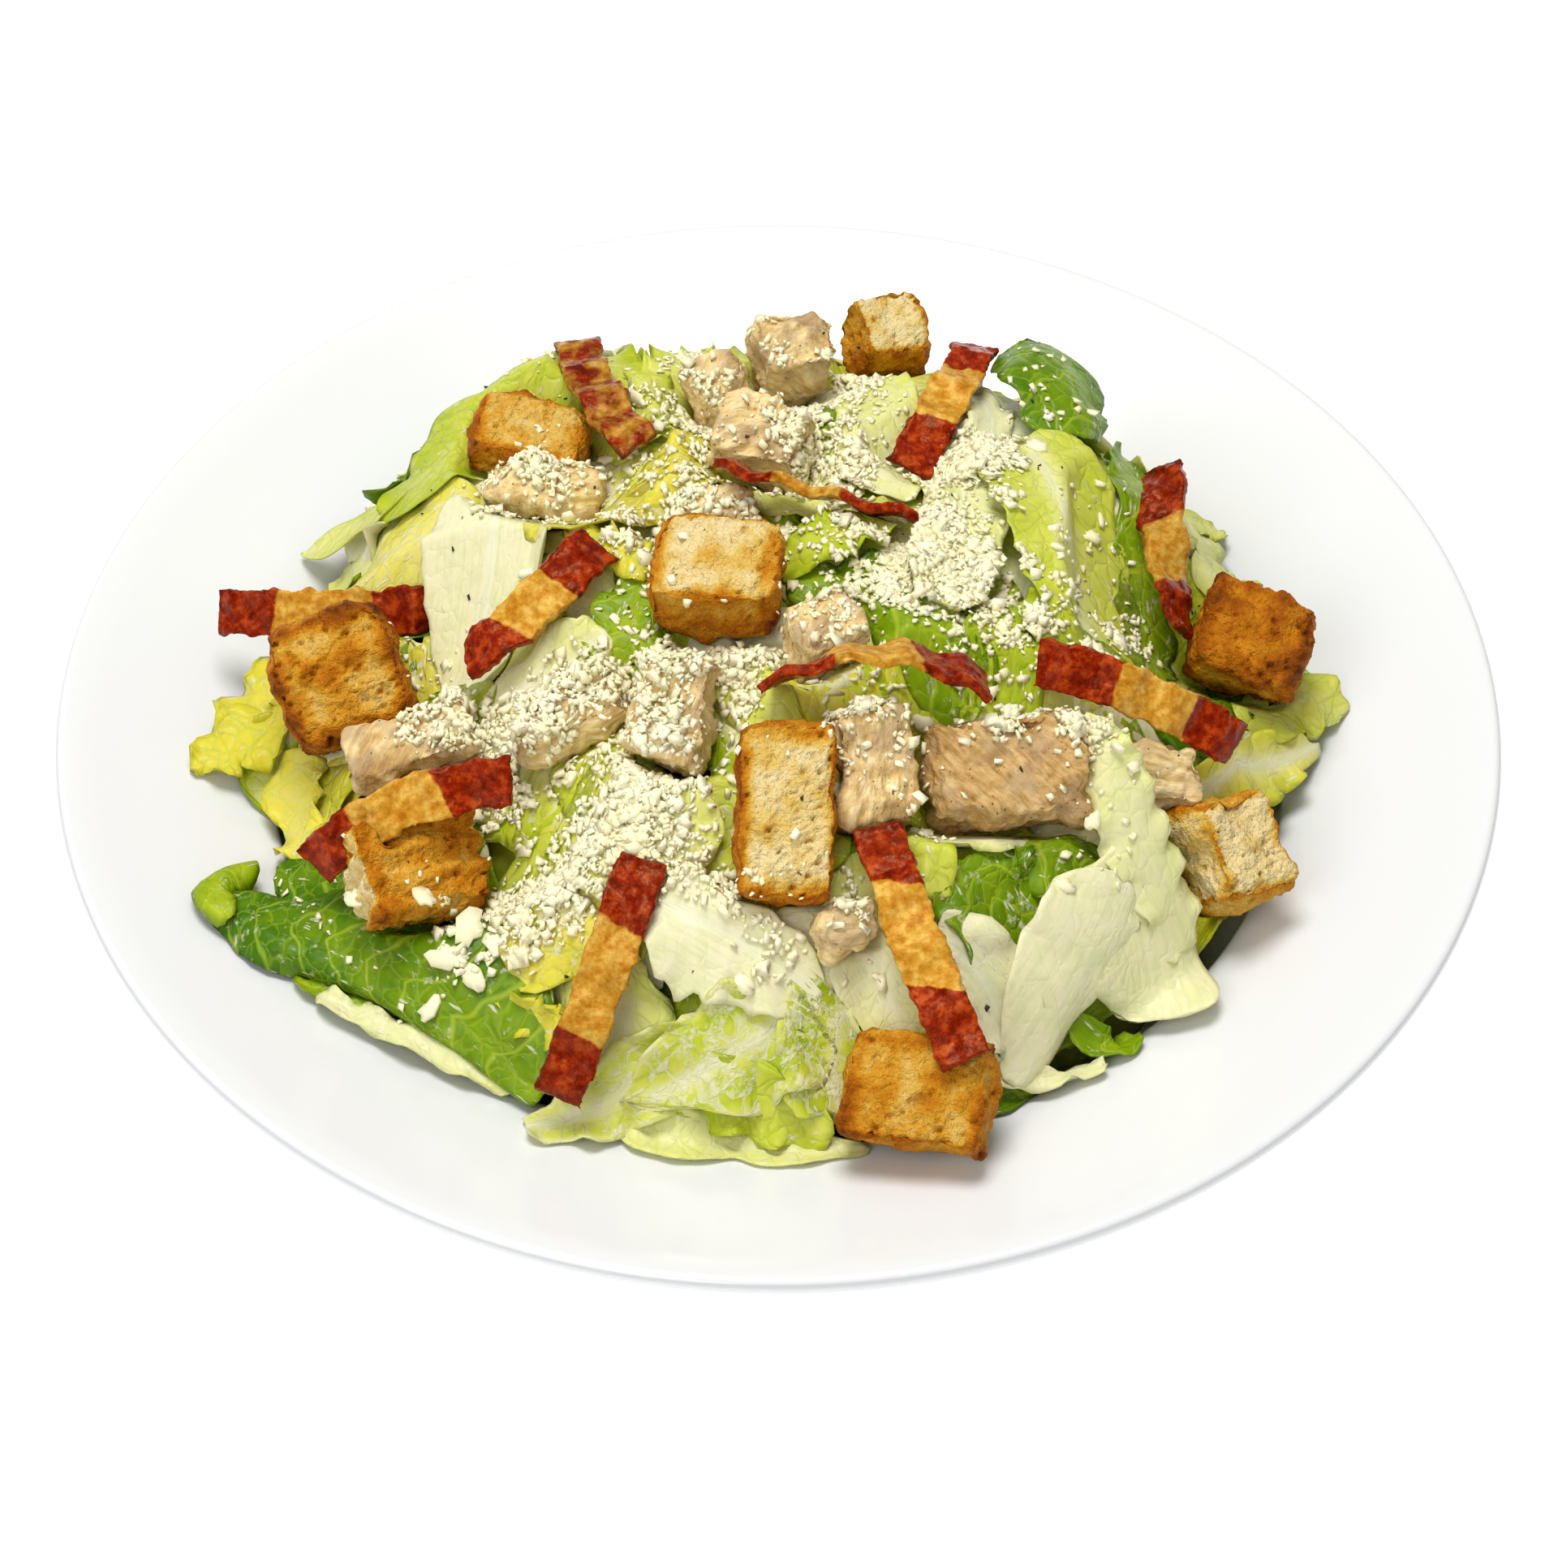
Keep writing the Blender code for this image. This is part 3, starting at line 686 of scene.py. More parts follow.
# Each leaf: three points of its middle line as (x, y, lift above the heap), half its width at each,
# its tone at both ends (0 white rib, 0.35 yellow, 0.6 light green, 1 deep green), and its habits.
# The x, y and widths mostly come from a separate projection script, not from a rule: see report.md.
LEAVES = (
    # back left
    leaf(((-43, 74, 6), (-58, 50, 6), (-80, 38, 4)), (11, 14, 7), (0.56, 0.60),
         ruffle=0.6, wave=30, fold=0.8, sauce=0.5, torn=-0.3, rim=True),
    leaf(((-72, 44, 3), (-86, 43, 3), (-98, 46, 1)), (8, 6, 1), (0.48, 0.30),
         ruffle=0.3, wave=30, fold=0.5, torn=-0.3, rim=True),
    leaf(((-36, 72, 2), (-31, 56, 2), (-25, 39, 2)), (6, 9, 8), (0.62, 0.45), ruffle=1.6),
    leaf(((-22, 82, 1), (-21, 60, 2), (-30, 42, 2)), (4, 8, 8), (0.52, 0.40), ruffle=2.2),
    leaf(((-58, 24, 3), (-73, 22, 4), (-87, 13, 3)), (8, 12, 8), (0.30, 0.34),
         ruffle=0.8, fold=0.8, sauce=0.7, gold=0.8),
    leaf(((-54, 27, 7), (-56, 4, 8), (-60, -17, 7)), (15, 13, 2.5), (0.04, 0.14),
         over=FAR_LEFT_STRIP, rib=2.2, ruffle=0.3, fold=0.7, step=0.9, sauce=0.1, torn=-0.2),
    leaf(((-64, 37, 1), (-50, 23, 1), (-41, 24, 1)), (5, 6, 5), (0.15, 0.3)),
    # middle left
    leaf(((-13, 33, 5), (-31, 18, 8), (-48, 13, 11)), (7, 9, 6), (0.42, 0.38),
         over=FAR_LEFT_STRIP, ruffle=2.0, wave=8, sauce=0.7, gold=1.0),
    leaf(((-40, 10, 5), (-30, 2, 6), (-22, 2, 3)), (3, 5, 4), (0.44, 0.50), ruffle=2.2, wave=7, gold=1.0),
    leaf(((-24, -2, 2), (-28, -14, 2), (-35, -27, 2)), (5, 8, 5), (0.85, 0.75), ruffle=1.6),
    leaf(((-56, -24, 4), (-43, -21, 4), (-31, -15, 3)), (5, 7, 6), (0.10, 0.30), ruffle=1.6, rib=1.5),
    leaf(((-53, -24, 2), (-52, -33, 3), (-53, -42, 2)), (5, 6, 4), (0.30, 0.36), cup=0.5, ruffle=0.8),
    leaf(((-67, -9, 0), (-61, -18, 0), (-54, -18, 0)), (6, 7, 5), (0.80, 0.7)),
    leaf(((-92, 5, 2), (-101, 0, 2), (-104, -8, 2)), (7, 7, 6), (0.38, 0.44),
         ruffle=2.2, wave=9, sauce=0.7, gold=1.0, rim=True),
    leaf(((-94, -11, 2), (-105, -11, 3), (-113, -17, 2)), (7, 7, 2), (0.44, 0.46),
         ruffle=2.0, wave=9, gold=1.0, rim=True),
    leaf(((-91, -16, 1), (-92, -27, 2), (-86, -42, 1)), (6, 6, 4), (0.36, 0.30), ruffle=2.0, gold=1.0),
    leaf(((-36, -30, 3), (-33, -42, 3), (-28, -52, 2)), (7, 8, 7), (0.50, 0.56), ruffle=1.4),
    leaf(((-39, -46, 4), (-29, -54, 5), (-15, -66, 3)), (10, 14, 12), (0.46, 0.30), ruffle=1.2, sauce=0.5),
    leaf(((-47, -49, 1), (-45, -58, 1), (-50, -64, 1)), (6, 7, 7), (0.55, 0.62)),
    # front left
    leaf(((-106, -49, 2), (-77, -66, 5), (-42, -93, 3)), (5, 11, 8), (1.04, 0.86),
         ruffle=0.4, wave=30, fold=0.6, bend=1.3, sauce=0.5, step=0.9, torn=-0.2, rim=True),
    leaf(((-84, -71, 0), (-68, -80, 1), (-48, -90, 1)), (2, 2.6, 2), (0.16, 0.24), rim=True),
    leaf(((-98, -40, 5), (-105, -48, 5), (-101, -57, 4)), (3, 4, 3), (0.78, 0.72),
         bend=1.2, torn=-0.3, rim=True),
    leaf(((-95, -43, 2), (-85, -48, 2), (-72, -56, 2)), (4, 6, 5), (0.98, 0.95)),
    leaf(((-47, -75, 2), (-39, -70, 3), (-31, -63, 2)), (6, 8, 6), (0.36, 0.34), ruffle=1.6, gold=1.0),
    leaf(((-49, -78, 2), (-42, -83, 3), (-36, -85, 2)), (2, 4, 2), (0.42, 0.5),
         ruffle=2.4, wave=6, gold=1.0),
    # front
    leaf(((-14, -88, 3), (-29, -95, 3), (-45, -99, 2)), (8, 7, 4), (0.60, 0.46),
         ruffle=1.5, fold=1.4, rib=0.6, sauce=0.8, rim=True, hem=0.3),
    leaf(((-28, -96, 0), (-8, -101, 0), (16, -102, 0)), (4, 5, 3), (0.30, 0.26),
         ruffle=2.2, wave=24, rim=True),
    leaf(((-20, -93, 2), (-6, -96, 2), (9, -101, 1)), (4, 7, 4), (0.60, 0.52), ruffle=1.6, rim=True),
    leaf(((7, -83, 3), (-8, -91, 4), (-28, -98, 4)), (9, 10, 4), (0.66, 0.62),
         ruffle=1.6, wave=18, fold=1.6, rib=0.8, sauce=0.85, hem=0.34),
    leaf(((13, -82, 3), (10, -92, 4), (14, -104, 2)), (9, 10, 4), (0.76, 0.68),
         ruffle=1.5, wave=16, fold=1.6, rib=0.6, sauce=0.85, hem=0.30),
    leaf(((-23, -69, 5), (-10, -76, 7), (9, -83, 6)), (7, 10, 4), (0.04, 0.10),
         rib=2.4, ruffle=0.8, fold=1.4, torn=0.7, step=0.9, sauce=0.1),
    # front right
    leaf(((21, -56, 4), (26, -60, 5), (28, -69, 4)), (4, 5, 3), (0.54, 0.50), cup=0.4),
    leaf(((24, -51, 5), (34, -55, 6), (46, -53, 4)), (3, 4, 3), (0.30, 0.38), rib=1.2, ruffle=1.2),
    leaf(((34, -59, 3), (40, -66, 4), (49, -73, 2)), (10, 12, 10), (0.92, 0.84),
         ruffle=1.2, wave=16, sauce=0.7),
    leaf(((43, -54, 4), (52, -55, 4), (62, -57, 3)), (5, 8, 6), (0.82, 0.90), ruffle=1.6),
    leaf(((28, -75, 4), (35, -77, 5), (43, -84, 4)), (6, 9, 8), (0.04, 0.08), rib=1.0, ruffle=1.0),
    leaf(((12, -71, 2), (19, -80, 3), (23, -88, 2)), (7, 8, 5), (0.06, 0.30), rib=1.6, ruffle=1.0),
    leaf(((54, -35, 9), (63, -49, 9), (77, -62, 5)), (5, 7, 6), (0.24, 0.18),
         over=ANY_TOPPING, ruffle=1.4, wave=8, fold=0.6, cup=-0.3, step=0.9, sauce=0.2),
    leaf(((59, -56, 9), (66, -64, 8), (69, -75, 4)), (7, 13, 12), (0.18, 0.12),
         over=ANY_TOPPING, rim=True, ruffle=0.9, wave=24, fold=0.8, bend=0.4, step=0.9, sauce=0.05,
         torn=-0.38),
    leaf(((63, -58, 9), (55, -73, 10), (42, -90, 4)), (6, 10, 4), (0.08, 0.06),
         over=ANY_TOPPING, rim=True, ruffle=0.8, wave=20, fold=0.8, cup=-0.5, step=0.9, sauce=0.05,
         torn=-0.38),
    leaf(((36, -87, 2), (46, -88, 3), (60, -84, 2)), (1.5, 2.4, 1.5), (0.2, 0.16), rim=True),
    leaf(((35, -87, 1), (40, -90, 1), (45, -87, 1)), (3, 5, 3), (0.98, 0.9), rim=True),
    leaf(((54, -76, 1), (61, -79, 2), (65, -76, 1)), (3, 4, 3), (0.85, 0.8), rim=True),
    # right
    leaf(((47, 38, 6), (55, 14, 8), (60, -12, 5)), (11, 15, 11), (0.47, 0.51),
         ruffle=0.7, wave=24, fold=0.5, sauce=0.5, rib=0.5),
    leaf(((35, 36, 4), (35, 11, 6), (29, -11, 4)), (6, 9, 7), (0.20, 0.30), rib=2.0, ruffle=1.0, sauce=0.6),
    leaf(((20, -4, 2), (29, -18, 2), (38, -26, 2)), (7, 9, 7), (0.80, 0.84)),
    leaf(((46, -9, 4), (58, -11, 5), (68, -9, 3)), (4, 6, 4), (0.66, 0.70), ruffle=2.0, wave=7),
    leaf(((55, 72, 18), (57, 58, 13), (61, 43, 5)), (10, 13, 9), (0.96, 0.88),
         ruffle=1.2, wave=16, drape=0.1, cup=-0.35, sauce=0.4, rim=True),
    leaf(((70, 54, 2), (71, 22, 2), (72, -6, 2)), (6, 7, 6), (0.86, 0.80), ruffle=1.4, sauce=0.6),
    leaf(((70, -7, 1), (76, -16, 1), (90, -12, 1)), (6, 8, 5), (1.0, 0.95), sauce=0.4),
    leaf(((87, -12, 2), (101, 0, 3), (111, -1, 1)), (5, 8, 4), (0.52, 0.40), ruffle=1.4, rim=True),
    leaf(((80, -29, 3), (92, -20, 5), (105, -8, 3)), (6, 6, 1.5), (0.52, 0.44),
         ruffle=1.6, rib=0.8, rim=True, gold=0.6),
    leaf(((82, 22, 1), (91, 27, 1), (98, 33, 1)), (5, 4, 2), (0.30, 0.32), rim=True),
    leaf(((82, 44, 1), (88, 50, 1), (93, 53, 1)), (3, 3, 1.5), (0.40, 0.36), rim=True),
    leaf(((34, -31, 4), (22, -39, 5), (22, -52, 3)), (5, 9, 6), (0.54, 0.60), ruffle=1.8, wave=9),
    leaf(((38, -11, 2), (42, -22, 2), (36, -34, 2)), (7, 9, 7), (0.72, 0.62)),
    # middle and back
    leaf(((21, 12, 5), (11, 5, 6), (-1, 0, 4)), (4, 6, 5), (0.58, 0.64), ruffle=2.2, wave=7),
    leaf(((22, 2, 2), (14, -5, 2), (2, -4, 2)), (5, 6, 5), (0.92, 0.86)),
    leaf(((16, 63, 3), (21, 39, 4), (17, 21, 3)), (5, 10, 10), (0.36, 0.20), ruffle=1.6),
    leaf(((39, 58, 2), (42, 46, 2), (38, 35, 2)), (4, 5, 5), (0.16, 0.12), rib=1.6),
    leaf(((-9, 42, 3), (-17, 31, 4), (-28, 21, 3)), (7, 8, 6), (0.40, 0.34), ruffle=2.0, wave=8, gold=1.0),
    leaf(((0, 32, 1), (6, 23, 1), (16, 19, 1)), (7, 9, 7), (0.4, 0.3)),
    leaf(((-9, -24, 1), (0, -38, 1), (-3, -46, 1)), (7, 7, 6), (0.4, 0.55)),
    leaf(((15, -38, 1), (8, -52, 1), (12, -57, 1)), (6, 6, 6), (0.50, 0.62)),
)
UNDER_LEAVES = 96
UNDER_RADIUS = 101.0
UNDER_SEED = 500
GOLDEN = math.pi * (3 - math.sqrt(5))
SHEET = 0.45  # thickness of the blade
CORE_RADIUS = 99.0
CORE_DEPTH = 7.0  # how far the core lies below the top of the heap


def leaf_sheet(
    pile, spine, widths, tones, number, step=1.1, ruffle=1.0, wave=12.0, cup=0.12, bend=0.0, rib=0.0,
    sauce=0.5, torn=0.0, fold=1.0, hem=0.0, over=None, rim=False, drape=0.75, gold=0.0, limit=LIMIT,
    inset=1.5,
):
    """One leaf as a thin closed sheet draped on the heap, with folds, a wavy margin and a midrib."""
    rough = [seed_noise(number, k) for k in range(3)]
    step = step * COARSER_SHEET
    points = [(x, y, float(sample(HEAP_TOP, x, y)) + lift) for x, y, lift in spine]
    ends = bezier(points, np.linspace(0, 1, 25))
    length = float(np.linalg.norm(np.diff(ends, axis=0), axis=1).sum())
    rows = max(6, int(length / step))
    columns = max(4, int(2 * max(widths) / step))
    share = np.linspace(0, 1, rows + 1)[:, None]
    across = np.linspace(-1, 1, columns + 1)[None, :]
    along = share * length
    centre = bezier(points, share[:, 0])
    ahead = unit(np.gradient(centre, axis=0))
    up = heap_normal(centre[:, 0], centre[:, 1])
    side = unit(np.cross(ahead, up))
    up = np.cross(side, ahead)
    lean = 0.22 * rough[0] + 0.25 * rough[1] * (share[:, :1] - 0.5)
    side, up = side * np.cos(lean) + up * np.sin(lean), up * np.cos(lean) - side * np.sin(lean)
    first, middle, last = widths
    half = first * (1 - share) * (1 - 2 * share) + middle * 4 * share * (1 - share)
    half = half - last * share * (1 - 2 * share)
    half = np.maximum(half, 0.8)
    corner = 1 - np.abs(2 * share - 1) ** 7
    half = half * (0.45 + 0.55 * corner**0.5)
    edge = np.sign(across)
    ragged = rough_noise(places(along / 6.0, edge * 5.0, number * 3.7), 3, 11)
    half = half * (1 + (0.16 + 0.3 * torn) * ragged * np.abs(across))
    width = half * across
    # The two cut ends are uneven too.
    end_noise = rough_noise(places(width / 5.0, 9.0, number * 1.9), 3, 5)
    push = (2 * share - 1) ** 5 * end_noise * (1.8 + 5.0 * torn)
    place = centre[:, None] + side[:, None] * width[..., None] + ahead[:, None] * push[..., None]
    place = place + up[:, None] * (cup * (width**2 / np.maximum(half, 1)))[..., None]
    place = place - up[:, None] * (bend * np.maximum(np.abs(across) - 0.35, 0) ** 2 * half)[..., None] * 2.0
    if not rim:
        place[..., :2] = place[..., :2] * keep_in(place[..., 0], place[..., 1], inset)[..., None]
    lift = bezier([(l, 0, 0) for _, _, l in spine], share[:, 0])[:, :1]
    lying = sample(HEAP_TOP, place[..., 0], place[..., 1]) + lift
    bulge = place[..., 2] - centre[:, 2][:, None]
    hold = drape * np.clip(half / 8.0, 0.4, 1.0)
    place[..., 2] = place[..., 2] * (1 - hold) + (lying + 0.35 * bulge) * hold
    # Folds run aslant like the side veins, and the margin waves.
    slant = along - 0.8 * np.abs(width)
    spot = places(slant / 12.0, width / 17.0, number * 2.3)
    folds = (rough_noise(spot, 2, 3) * 2.0 + 0.28 * rough_noise(spot * 2.9, 2, 7)) * fold
    phase = 6.3 * rough[2] + edge * 1.7 + 2.5 * smooth_noise(places(along / 15, edge, number), 9)
    waves = 2 * math.pi * along / wave
    wavy = np.sin(waves + phase) + 0.4 * np.sin(waves * 2.3 + 2 * phase)
    margin = np.abs(across) ** 2.2
    rise = folds * (0.35 + 0.65 * np.abs(across)) + ruffle * margin * wavy
    ribbing = np.exp(-((width / 2.4) ** 2)) * rib
    rise = rise - 0.35 * ribbing
    place = place + up[:, None] * rise[..., None]
    swing = 0.35 * ruffle * margin * edge * np.cos(waves + phase)
    place = place + side[:, None] * swing[..., None]
    if over != ANY_TOPPING:
        highest = sample(UPPER_LIMIT if over else limit, place[..., 0], place[..., 1]) - 0.7
        place[..., 2] = np.minimum(place[..., 2], highest)
    ground = sample(DISH, place[..., 0], place[..., 1]) + 0.9
    place[..., 2] = np.maximum(place[..., 2], ground + 0.3 * np.maximum(rise, 0))
    normal = unit(np.cross(np.gradient(place, axis=0), np.gradient(place, axis=1)))
    if normal[..., 2].mean() < 0:
        normal = -normal
    from_end = np.minimum(share, 1 - share) * length / half.mean()
    border = np.minimum(1, np.minimum(1 - np.abs(across), from_end) * 6)
    thick = SHEET * (0.45 + 0.55 * border)
    thick = thick + rib * 1.1 * np.exp(-((width / 2.6) ** 2)) * (1 - 0.5 * share) * border
    if rib > 1.5:
        thick = thick + 0.5 * rib * border
    under = place - normal * thick[..., None]
    under[..., 2] = np.maximum(under[..., 2], sample(DISH, under[..., 0], under[..., 1]) + 0.25)
    count = (rows + 1) * (columns + 1)
    index = np.arange(count).reshape(rows + 1, columns + 1)
    quads = np.stack([index[:-1, :-1], index[:-1, 1:], index[1:, 1:], index[1:, :-1]], -1).reshape(-1, 4)
    ring = sheet_border(index)
    after = np.roll(ring, -1)
    wall = np.stack([ring, ring + count, after + count, after], -1)
    faces = np.concatenate([quads, quads[:, ::-1] + count, wall])
    verts = np.concatenate([place.reshape(-1, 3), under.reshape(-1, 3)])
    # Faces must point out, whichever way the sheet was wound.
    a, b, c = (place.reshape(-1, 3)[quads[:, k]] for k in (0, 1, 2))
    if (np.cross(b - a, c - a) * normal.reshape(-1, 3)[quads[:, 0]]).sum() < 0:
        faces = faces[:, ::-1]
    tone = tones[0] + (tones[1] - tones[0]) * share + 0.10 * (np.abs(across) - 0.5) * min(1, tones[1] * 3)
    tone = tone - hem * ease(0.62, 0.98, np.abs(across) + 0.12 * ragged)
    tone = tone - 0.30 * np.exp(-((width / 3.2) ** 2)) * min(rib, 1.0) * (tones[0] > 0.2)
    line = np.exp(-((width / 1.1) ** 4)) * min(1.0, 1.2 * rib) * (1 - 0.45 * share) * np.ones_like(width)
    spot = places(along, width, number * 17.3).reshape(-1, 3)
    covered = cheese_cover(place[..., 0], place[..., 1])
    pile.add(
        verts,
        faces,
        leaf=np.concatenate([spot, spot + (0, 0, 3.1)]),
        tone=np.tile((tone + 0 * width).ravel(), 2),
        rib=np.tile(line.ravel(), 2),
        sauce=np.full(2 * count, sauce) * np.repeat((1.0, 0.4), count),
        gold=np.full(2 * count, gold),
        cheese=np.repeat((1.0, 0.0), count) * np.tile(covered.ravel(), 2),
    )


def seed_noise(number, channel):
    """A repeatable number from -1 to 1."""
    return float(scatter_hash(np.array([number, channel, 7]), 99)) * 2 - 1


def build_romaine():
    material = lettuce()
    piles = {"left": Pile(), "right": Pile(), "under": Pile()}
    for number, (spine, widths, tones, habits) in enumerate(LEAVES):
        side = "left" if spine[1][0] < 0 else "right"
        leaf_sheet(piles[side], spine, widths, tones, number, **habits)
    # The other leaves stay below these.
    placed = [(np.concatenate(p.verts), np.concatenate(p.faces)) for p in (piles["left"], piles["right"])]
    underside = heights(tree_of(placed), 0.0, UP, SKY)
    below = np.minimum(LIMIT, spread_limit(underside, 1.5, 1))
    for k in range(UNDER_LEAVES):
        number = k + UNDER_SEED
        rough = [seed_noise(number, c) for c in range(8)]
        radius = UNDER_RADIUS * math.sqrt((k + 0.5) / UNDER_LEAVES)
        turn = k * GOLDEN
        x, y = radius * math.cos(turn), radius * math.sin(turn)
        heading = turn + math.pi / 2 + 1.1 * rough[0]
        reach = 17 + 6 * rough[1]
        dx, dy = reach * math.cos(heading), reach * math.sin(heading)
        lift = -1.5 + 1.8 * rough[2]
        spine = ((x - dx, y - dy, lift - 1), (x, y, lift + 1), (x + dx, y + dy, lift - 1))
        white = k % 5 == 2
        tone = 0.08 if white else 0.56 + 0.30 * rough[3]
        wide = 11 + 3 * rough[4]
        leaf_sheet(
            piles["under"], spine, (wide * 0.7, wide, wide * 0.75), (tone, tone + 0.12 * rough[5]), number,
            step=2.0, ruffle=1.4 + 0.7 * rough[6], wave=13 + 4 * rough[7], sauce=0.55, drape=0.9,
            rib=1.8 if white else 0.5 * (k % 2),
            gold=0.8 if k % 7 == 3 else 0.0, limit=below, inset=3.5,
        )
    for side, pile in piles.items():
        leaves = pile.build("romaine_" + side, material)
        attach(leaves, "root")
        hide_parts("salad_heap")
    build_core()


def build_core():
    """A smaller heap, in leaf green darkened as painted shade, that closes the gaps between the leaves."""
    steps = np.arange(-102.0, 102.1, 3.0)
    across, along = np.meshgrid(steps, steps, indexing="ij")
    radius = np.hypot(across, along)
    scale = np.where(radius > CORE_RADIUS, CORE_RADIUS / np.maximum(radius, 1), 1.0)
    scale = np.minimum(scale, keep_in(across, along, 9.0))
    x, y = across * scale, along * scale
    low = sample(DISH, x, y) + 0.4
    top = np.minimum(sample(HEAP_TOP, x, y) - CORE_DEPTH, sample(LIMIT, x, y) - 4.0)
    top = np.maximum(top, low)
    count = x.size
    index = np.arange(count).reshape(x.shape)
    quads = np.stack([index[:-1, :-1], index[1:, :-1], index[1:, 1:], index[:-1, 1:]], -1).reshape(-1, 4)
    ring = sheet_border(index)
    after = np.roll(ring, -1)
    wall = np.stack([ring, after, after + count, ring + count], -1)
    verts = np.concatenate([places(x, y, level).reshape(-1, 3) for level in (top, low - 0.2)])
    faces = np.concatenate([quads, quads[:, ::-1] + count, wall])
    core = make_object("romaine_core", verts, faces, {}, shaded_core_leaf())
    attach(core, "root")
    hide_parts("salad_heap")


# ---- croutons, chicken and bacon ------------------------------------------------------------------

# How each crouton is turned, in degrees about X, Y and Z, the way its palest face looks, how toasted
# the rest is (0 to 1) and how far the pale face fades.
CROUTON_LOOKS = {
    "crouton_top": ((8, -3, -8), (-0.05, -0.1, 1.0), 0.46, 0.95),
    "crouton_left": ((42, -12, 14), (0.4, -0.7, 0.5), 0.62, 0.55),
    "crouton_front_left": ((22, 14, 26), (-0.6, -0.7, 0.2), 0.44, 0.95),
    "crouton_slab": ((38, 6, 4), (0.0, -0.62, 0.79), 0.52, 1.0),
    "crouton_back_left": ((8, 6, -10), (0.0, -0.1, 1.0), 0.52, 0.60),
    "crouton_back": ((22, 10, 22), (0.2, -0.5, 0.85), 0.46, 0.90),
    "crouton_right": ((28, 8, -20), (-0.5, -0.8, 0.1), 0.63, 0.45),
    "crouton_front_right": ((34, 16, 32), (-0.1, -0.75, 0.65), 0.34, 1.3),
    "crouton_front": ((32, -4, -12), (-0.2, 0.3, 1.0), 0.49, 0.45),
}
# These are torn rather than cut.
TORN_CROUTONS = ("crouton_left", "crouton_right", "crouton_back", "crouton_front_right")
# How much more than usual a chunk is grilled and a strip is charred.
BROWNED = {
    "chicken_white": -0.45, "chicken_far_right": -0.3, "chicken_right": 0.5, "chicken_back_small": 0.25,
    "chicken_left_back": 0.2, "chicken_beside_slab": 0.22, "chicken_left": 0.12, "chicken_middle": -0.1,
}
CHARRED = {"bacon_back_left": 0.35, "bacon_right_back": 0.3, "bacon_front": 0.15}


def turn_matrix(degrees):
    """The rotation about X, then Y, then Z."""
    x, y, z = (math.radians(a) for a in degrees)
    about_x = np.array([[1, 0, 0], [0, math.cos(x), -math.sin(x)], [0, math.sin(x), math.cos(x)]])
    about_y = np.array([[math.cos(y), 0, math.sin(y)], [0, 1, 0], [-math.sin(y), 0, math.cos(y)]])
    about_z = np.array([[math.cos(z), -math.sin(z), 0], [math.sin(z), math.cos(z), 0], [0, 0, 1]])
    return about_z @ about_y @ about_x


def fine_copy(name, voxel, smoothing):
    """A node's shape as an even, fine mesh: vertices in millimetres, triangles and vertex normals."""
    mesh = NODES[name].data.copy()
    bm = bmesh.new()
    bm.from_mesh(mesh)
    bmesh.ops.remove_doubles(bm, verts=bm.verts, dist=1e-6)
    bm.to_mesh(mesh)
    bm.free()
    source = bpy.data.objects.new("fine_source", mesh)
    bpy.context.scene.collection.objects.link(source)
    remesh = source.modifiers.new("even", "REMESH")
    remesh.mode = "VOXEL"
    remesh.voxel_size = voxel * MM * COARSER_VOXEL
    soft = source.modifiers.new("soft", "SMOOTH")
    soft.factor = 0.5
    soft.iterations = smoothing
    shaped = source.evaluated_get(bpy.context.evaluated_depsgraph_get()).to_mesh()
    shaped.calc_loop_triangles()
    verts = np.zeros(len(shaped.vertices) * 3)
    shaped.vertices.foreach_get("co", verts)
    faces = np.zeros(len(shaped.loop_triangles) * 3, np.int32)
    shaped.loop_triangles.foreach_get("vertices", faces)
    verts, faces = verts.reshape(-1, 3) / MM, faces.reshape(-1, 3)
    bpy.data.objects.remove(source)
    bpy.data.meshes.remove(mesh)
    return verts, faces, vertex_normals(verts, faces)


def vertex_normals(verts, faces):
    a, b, c = verts[faces[:, 0]], verts[faces[:, 1]], verts[faces[:, 2]]
    face = np.cross(b - a, c - a)
    normals = np.zeros_like(verts)
    for k in range(3):
        np.add.at(normals, faces[:, k], face)
    return unit(normals)


